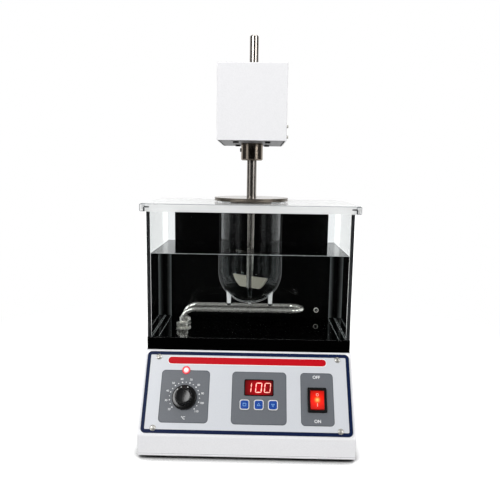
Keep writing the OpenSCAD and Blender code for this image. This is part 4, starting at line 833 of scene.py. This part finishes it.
# %% Keys
key_face = fascia_top + 1.6
for name, at in key_places.items():
    node = name + "_key"
    body, cap, mark = bmesh.new(), bmesh.new(), bmesh.new()
    tile(body, (14.5, 14.5), 3.5, -3.3, key_face - 0.4, at, 8)
    soften(body, 0.5, 3)
    tile(cap, (12.4, 12.4), 2.9, key_face - 1.0, key_face, at, 8)
    soften(cap, 0.45, 3)
    if name == "set":
        tile(mark, (5.2, 4.6), 0.6, key_face, key_face + 0.05, at, 3, frame_width=0.8)
    else:
        arrow = bmesh.new()
        bmesh.ops.create_circle(arrow, cap_ends=True, segments=3, radius=3.1)
        bmesh.ops.inset_region(arrow, faces=arrow.faces[:], thickness=0.7, use_boundary=True,
                               use_even_offset=True)
        bmesh.ops.delete(arrow, geom=[f for f in arrow.faces if len(f.verts) == 3], context="FACES")
        thicken(arrow, 0.05)
        join(mark, arrow, (*at, key_face), Matrix.Rotation(pi if name == "down" else 0, 4, "Z"))
    piece(node + "_moulding", body, node, white_plastic, place=to_slope)
    piece(node + "_cap", cap, node, blue_plastic, instead=False, place=to_slope)
    piece(node + "_mark", mark, node, pale_blue, instead=False, place=to_slope)

# %% [markdown]
# ## The mains switch
# The rocker is a clear red moulding with a lamp inside, in a black bezel. The CAD solids already
# have the right shapes, so welded copies get softened edges. The two marks are the usual ones
# for off and on, a ring and a bar, and they tilt with the rocker.

# %% Mains switch
bezel = welded("switch_frame")
soften(bezel, 0.5, 3, 40, lambda e: all((from_slope @ v.co).z > 3.4 for v in e.verts))
piece("mains_switch_bezel", bezel, "switch_frame", black_moulding)
rocker = welded("switch_rocker")
soften(rocker, 0.6, 3, 15, lambda e: all((from_slope @ v.co).z > 3 for v in e.verts))
surface = rocker.copy()
bmesh.ops.transform(surface, matrix=from_slope, verts=surface.verts)
surface_tree = BVHTree.FromBMesh(surface)
marks = bmesh.new()
tile(marks, (4.2, 4.2), 2.05, 0, 0.12, (104.5, 61.6), 8, frame_width=0.8)
tile(marks, (0.9, 4.6), 0.2, 0, 0.12, (104.5, 47.2), 2)
for vert in marks.verts:
    below = surface_tree.ray_cast((vert.co.x, vert.co.y, 60), (0, 0, -1))[0]
    vert.co.z += below.z
surface.free()
piece("mains_rocker_moulding", rocker, "switch_rocker", rocker_glow)
piece("mains_rocker_marks", marks, "switch_rocker", pink_ink, instead=False, place=to_slope)

# %% [markdown]
# ## Screws
# The fascia's screws are domed with one slot. A dome is turned, cut along both sides of the slot,
# and the strip between the cuts is pushed down to the slot's floor.

# %% Fascia screws
def slotted_dome(radius, height, slot_w, slot_floor):
    """A domed screw head with one straight slot, on the level 0."""
    shape = bmesh.new()
    dome = [(radius * sin(radians(a)), height * cos(radians(a)) ** 0.7) for a in range(12, 85, 8)]
    turned(shape, [(0, height), *dome, (radius, 0.3), (radius, 0), (0, 0)], 64)
    for offset in (slot_w / 2, slot_w / 2 + 0.12, -slot_w / 2, -slot_w / 2 - 0.12):
        cut(shape, (0, offset, 0), (0, 1, 0))
    for vert in shape.verts:
        if abs(vert.co.y) < slot_w / 2 + 0.01:
            vert.co.z = min(vert.co.z, slot_floor)
    return shape


screws = bmesh.new()
for x, up, turn in ((-137.6, 10.4, 40), (137.6, 10.4, 105), (-137.6, 115, 20), (137.6, 115, 130)):
    head = slotted_dome(4.4, 2.1, 1.3, 0.7)
    join(screws, head, (x, up, fascia_top), Matrix.Rotation(radians(turn), 4, "Z"))
    turned(screws, [(0, 0), (1.6, 0), (1.6, -6), (0, -6)], 24, at=(x, up, fascia_top + 0.1))
piece("fascia_screw_heads", screws, "fascia_screws", nickel, place=to_slope)

# %% [markdown]
# ## The bath
# The bath is four clear walls on a black plinth. The walls are built anew as one ring, so their
# outer edges can be polished round. They dip a hair into the plinth, as a glued joint holds no
# air: a gap there would mirror the white room in one bright line. Where the panes meet, dark
# joint compound shows as an upright strip in each corner, and cement shows as fine pale lines
# along the floor. Two more pale lines at the rear film's edges are painted light.

# %% Clear walls
# Half of the bath's width and depth, outside and inside.
bath_half, pane_t, film_edge = Vector((158, 87)), 6, 140.4
inner_half = bath_half - Vector((pane_t, pane_t))
floor_z, rim_z, water_z = 162, 365, 293.5
walls = bmesh.new()
tile(walls, 2 * bath_half, 0, floor_z - 0.3, rim_z, frame_width=pane_t)
soften(walls, 0.5, 2, choose=between(*side_planes(-bath_half, bath_half), ((0, 0, 1), rim_z)))
give_finishes(walls, lambda middle, normal: middle.y > inner_half.y - 1)
piece("bath_walls_clear", walls, "tank_walls", acrylic, backed_acrylic)

# %% Joints and cement lines
joints, lines = bmesh.new(), bmesh.new()
for x in (-1, 1):
    for y in (-1, 1):
        at = (x * (bath_half.x - pane_t / 2), y * inner_half.y)
        tile(joints, (pane_t - 0.4, 0.4), 0, floor_z - 0.2, rim_z - 1, at)
# The lines by the side walls are cement; the two at the film's edges are painted light.
for x in (1.4 - inner_half.x, -film_edge, film_edge, inner_half.x - 1.4):
    tile(lines, (0.9, 2 * inner_half.y - 2), 0, floor_z + 0.1, floor_z + 0.9, (x, 0))
piece("bath_corner_joints", joints, "tank_walls", joint_and_painted_shadow, instead=False)
piece("bath_cement_and_painted_light_lines", lines, "tank_walls", cement_and_painted_light, instead=False)

# %% [markdown]
# Beside the rear film a strip of bare acrylic lets light in. That light is painted on a thin tile
# in front of the strip: brightest along the film's edge and fading to black towards the corner,
# so its colour follows the distance from that edge.

# %% Painted light beside the film
strip_w = 8.0
strip_painted_light = finish("acrylic_bare_strip_painted_light", "#6A6E6E", "#646868", 2.0, (0.4, 0.5), IOR=1.49,
                    Specular_IOR_Level=0.1)
tree = strip_painted_light.node_tree
shader = tree.nodes["Principled BSDF"]
plain = shader.inputs["Base Color"].links[0].from_socket
place = add(tree, "SeparateXYZ", {0: add(tree, "TexCoord").outputs["Object"]})
sideways = add(tree, "Math", {0: place.outputs["X"]}, operation="ABSOLUTE")
near_film = add(tree, "MapRange", {0: sideways, 1: (film_edge + strip_w) / 1000,
                                   2: film_edge / 1000})
fade = add(tree, "Math", {0: near_film, 1: 2.0}, operation="POWER")
faded = add(tree, "Mix", {0: fade, 6: linear("#040404"), 7: plain}, data_type="RGBA")
connect(tree, shader, {"Base Color": faded})
light_strips = bmesh.new()
for side in (-1, 1):
    at = (side * (film_edge + strip_w / 2), inner_half.y - 1.2)
    tile(light_strips, (strip_w, 0.4), 0, floor_z + 1.0, water_z - 1, at)
piece("bath_bare_strips_painted_light", light_strips, "tank_walls", strip_painted_light, instead=False)

# %% [markdown]
# The plinth is black acrylic. It shines, so the heater and the glass are mirrored in it. The
# sheet behind the bath is covered with matt black film, which mirrors nothing. It starts a hair
# behind the wall, because two faces in one plane would fight over which is seen, and it reaches
# a little below the bath's floor, so no light comes in under it.

# %% Plinth and back sheet
plinth = welded("tank_base")
soften(plinth, 0.6, 2, 40, between(*side_planes(-bath_half, bath_half), ((0, 0, 1), floor_z)))
piece("bath_plinth_black", plinth, "tank_base", black_acrylic)
sheet_piece = welded("tank_back_sheet")
front_verts = [v for v in sheet_piece.verts if v.co.y < bath_half.y + 0.01]
low_verts = [v for v in front_verts if v.co.z < floor_z + 1]
bmesh.ops.translate(sheet_piece, vec=(0, 0.12, 0), verts=front_verts)
bmesh.ops.translate(sheet_piece, vec=(0, 0, -0.5), verts=low_verts)
piece("bath_back_sheet_black", sheet_piece, "tank_back_sheet", black_film)

# %% [markdown]
# ## Water
# The water is one closed block. Against the walls it keeps a gap of a tenth of a millimetre,
# which stands for its skin, and its bottom dips into the plinth, because a gap there would mirror
# the whole floor. The glass and the heater simply stand in it. Where it wets the walls it climbs
# a little, and a thin pale strip there draws the waterline as painted reflection.

# %% Water
skin = 0.1
water = bmesh.new()
tile(water, 2 * (inner_half - Vector((skin, skin))), 0, floor_z - 0.25, water_z)
give_finishes(water, lambda middle, normal: normal.z > 0.9)
piece("bath_water", water, "tank_walls", still_water, water_top_painted_shade, instead=False)
waterline_reflection = bmesh.new()
tile(waterline_reflection, (2 * inner_half.x - 0.4, 0.7), 0, water_z - 0.35, water_z + 0.35,
     (0, 0.6 - inner_half.y))
for x in (0.6 - inner_half.x, inner_half.x - 0.6):
    tile(waterline_reflection, (0.6, 2 * inner_half.y - 2), 0, water_z - 0.3, water_z + 0.3, (x, 0))
piece("bath_waterline_painted_reflection", waterline_reflection, "tank_walls", waterline_painted_reflection, instead=False)

# %% [markdown]
# ## The lid
# The lid is bent or moulded from thick acrylic, so its edges are generously round. A welded copy
# of the CAD lid has its upper outer edges rounded, and the hole's rim stays as it is. Where the
# sheet hooks over the bath's ends, its own edge and the wall's top are drawn on its front as dark
# outlines and shadows: painted shade.

# %% Lid
lid = welded("tank_lid")
low, high = [1000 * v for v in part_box("tank_lid")]


def on_rim(vert):
    """Whether a point lies on the lid's outline, round corners included."""
    beyond = (abs(vert.co.x) - high.x, abs(vert.co.y) - high.y)
    return vert.co.z > high.z - 0.01 and (min(beyond) > -14.1 or max(beyond) > -0.05)


count = soften(lid, 1.6, 4, 40, lambda edge: all(on_rim(vert) for vert in edge.verts))
print("lid edges rounded:", count)
# The rounded faces take the darker copy, which is painted shade.
give_finishes(lid, lambda middle, normal: 0.2 < normal.z < 0.97)
piece("bath_lid_opal", lid, "tank_lid", milky_acrylic, milky_edge_shade)
# Grey outlines and dark hook shadows on the lid's front: painted shade.
ends, hook_shadows = bmesh.new(), bmesh.new()
for side in (-1, 1):
    tile(ends, (7.6, 11.0), 1.4, 0, 0.05, (side * 161.4, 364.0), 4, frame_width=0.8)
    tile(hook_shadows, (7.2, 1.9), 0.5, 0, 0.05, (side * 154.4, 365.2), 2)
    tile(hook_shadows, (1.4, 6.0), 0.3, 0, 0.05, (side * 158.8, 362.0), 2)
to_front = Matrix.Translation((0, low.y, 0)) @ Matrix.Rotation(pi / 2, 4, "X")
piece("bath_lid_end_painted_outlines", ends, "tank_lid", grey_ink_and_painted_shade, instead=False, place=to_front)
piece("bath_lid_hook_painted_shadows", hook_shadows, "tank_lid", joint_and_painted_shadow, instead=False, place=to_front)

# %% [markdown]
# ## The glass
# The vessel keeps its CAD shape, with a fire-polished flange and a hemispherical bottom. It
# stands in water, so a welded copy is cut at the water's level and the lower faces get the
# finish for glass under water. What lies outside the bowl's ball down there is a foot, and the
# two in front, which stand in the light, get a whitish finish: painted light.

# %% Vessel
glass = welded("vessel")
cut(glass, (0, 0, water_z), (0, 0, 1))
ball_centre, ball_radius, feet_top = Vector((0, 0, 255.8)), 52, 245


def glass_finish(middle, normal):
    """0 in air, 1 under water, 2 on a foot in front, whose whitish finish is painted light."""
    outside_ball = (middle - ball_centre).length > ball_radius + 0.4
    return 2 if outside_ball and middle.z < feet_top and middle.y < 0 else middle.z < water_z


give_finishes(glass, glass_finish)
piece("vessel_glass", glass, "vessel", lab_glass, wet_glass, foot_glass_painted_light)

# %% [markdown]
# ## The vessel's cover
# The cover is turned from steel: two discs with a fine groove between them. So it is a profile
# spun about the spindle, and its faces that look outwards get a darker, duller copy of its finish.

# %% Cover
cover = bmesh.new()
low, high = [1000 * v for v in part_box("vessel_cover")]
bottom, top = high.z - 5.4, high.z
bore_r, plug_r, rim_r = 9.3, 34, 60.8
turned(cover, [(bore_r, low.z), (plug_r, low.z), (plug_r, bottom), (rim_r, bottom),
               (rim_r, bottom + 2.25), (rim_r - 0.8, bottom + 2.35), (rim_r - 0.8, bottom + 3.05),
               (rim_r, bottom + 3.15), (rim_r, top), (bore_r, top)], 128, closed=True, soft=0.35)
give_finishes(cover, lambda middle, normal: normal.xy.dot(middle.xy.normalized()) > 0.5)
piece("vessel_cover_turned", cover, "vessel_cover", turned_steel, edge_steel)

# %% [markdown]
# The paddle's rod is ground and its blade is blasted, so one mesh has two finishes: a face takes
# the blade's if it lies outside the rod. The drain's outlet is natural nylon. Its bore is black and
# a thin black ring lies round its opening: both are painted shade, as the hole lies in shade.

# %% Paddle
rod_r = 6.1
paddle = welded("paddle")
give_finishes(paddle, lambda middle, normal: middle.xy.length > rod_r + 0.1)
piece("paddle_rod_and_blade", paddle, "paddle", rod_steel, blade_steel)

# %% Drain outlet
drain_axis, outlet_r = Vector((118.3, 0, 177)), 3.2
drain = welded("drain_fitting")
# The bore's faces take the black: painted shade.
give_finishes(drain, lambda middle, normal: (middle - drain_axis).xz.length < outlet_r
              and abs(normal.y) < 0.5)
piece("drain_fitting_moulding", drain, "drain_fitting", natural_nylon, rubber_and_painted_shade)
mouth_shade = bmesh.new()
turned(mouth_shade, [(1.95, 0), (outlet_r, 0), (outlet_r, 0.2), (1.95, 0.2)], 48, closed=True,
       at=drain_axis + Vector((0, 78.98, 0)), turn=Matrix.Rotation(pi / 2, 4, "X"))
piece("drain_mouth_painted_shade", mouth_shade, "drain_fitting", rubber_and_painted_shade, instead=False)

# %% [markdown]
# ## The head's cover and the base plate
# The head's cover is folded sheet like the console's shell, and the base plate is a flat one, so
# both are made like the shell. A thin black frame on the head's underside and a thin black line
# between the base plate and the shell are painted shade: the shade in the gaps between the parts.

# %% Head cover
low, high = [1000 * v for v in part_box("head_cover")]
head = welded("head_cover")
outside = between(*side_planes(low, high), ((0, 0, 1), high.z))
print("edges rounded:", soften(head, 1.4, 4, 30, outside))
piece("head_cover_sheet", head, "head_cover", white_coat)
# A black frame where the cover meets the frame plate: painted shade of the gap.
gap_shade = bmesh.new()
tile(gap_shade, (100.8, 149.6), 0, low.z - 0.2, low.z + 0.1, (0, -3), frame_width=2.2)
piece("head_cover_gap_painted_shade", gap_shade, "head_cover", rubber_and_painted_shade, instead=False)

# %% Base plate
plate = welded("base_plate")
low, high = [1000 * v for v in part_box("base_plate")]
outside = between(*side_planes(low, high), ((0, 0, 1), low.z), ((0, 0, 1), high.z))
print("edges rounded:", soften(plate, 1.8, 4, 40, outside))
piece("console_base_plate", plate, "base_plate", white_coat)
# A black line along the seam between plate and shell: painted shade.
seam_shade = bmesh.new()
tile(seam_shade, (319.0, 286.4), 1.4, high.z - 0.9, high.z - 0.02, (0, (low.y + high.y) / 2),
     frame_width=3)
piece("console_base_seam_painted_shade", seam_shade, "base_plate", rubber_and_painted_shade, instead=False)

# %% [markdown]
# ## Softened mouldings and castings
# The rest of the outer parts keep their CAD shape and only lose their sharp edges. One loop
# makes a welded copy of each, softens it by its own radius, and finishes it.

# %% Other softened parts
for node, name, coat, radius in (
        ("post_foot", "post_foot_block", turned_steel, 0.5),
        ("post_stop_ring", "post_stop_ring_turned", zinc, 0.5),
        ("post_clamp", "post_clamp_casting", black_coat, 0.8),
        ("clamp_knob", "clamp_knob_moulding", black_nylon, 0.8),
        ("power_inlet", "power_inlet_moulding", black_nylon, 0.4),
        ("fuse_holder", "fuse_holder_moulding", black_nylon, 0.5),
        ("lead_gland", "lead_gland_moulding", black_nylon, 0.3),
        ("head_gland", "head_gland_moulding", black_nylon, 0.3),
        ("drain_lever", "drain_lever_dipped", red_vinyl, 0.4),
        ("head_frame", "head_frame_plate", grey_coat, 0.3)):
    copy = welded(node)
    soften(copy, radius, 3, 40)
    piece(name, copy, node, coat)

# %% [markdown]
# ## Finishes for the nodes that keep their CAD mesh
# Many parts are right as they are, inside the console and the head above all. They keep their
# mesh and get the finish of the real part.

# %% Finishes on CAD nodes
for coat, names in (
        (fascia_film, ["fascia_plate"]), (bezel_glow, ["lamp_body"]),
        (zinc, ["plate_screws", "thermostat_body", "thermostat_shaft", "head_cover_screws",
                "post_foot_screws", "clamp_screws", "motor_pulley"]),
        (rubber_and_painted_shade, ["rubber_feet", "vessel_foot_caps", "drive_belt"]),
        (green_board, ["control_board", "display_module", "keypad_board"]),
        (iron, ["transformer"]), (grey_enamel, ["motor"]),
        (tube_steel, ["heater_tube"]), (fitting_steel, ["heater_fittings"]),
        (turned_steel, ["shaft_bearings"]),
        (brass, ["drain_valve"]), (rod_steel, ["support_post", "spindle"]),
        (collar_steel, ["drive_shaft"]),
        (black_coat, ["collar_screw", "head_frame_screws", "speed_disc"]),
        (aluminium, ["bearing_block", "spindle_pulley"]), (black_nylon, ["speed_sensor"])):
    for name in names:
        cad_nodes[name].data.materials.clear()
        cad_nodes[name].data.materials.append(coat)
finished = [node for node in cad_nodes.values() if node.data.materials]
print("CAD nodes with a finish of their own:", len(finished))
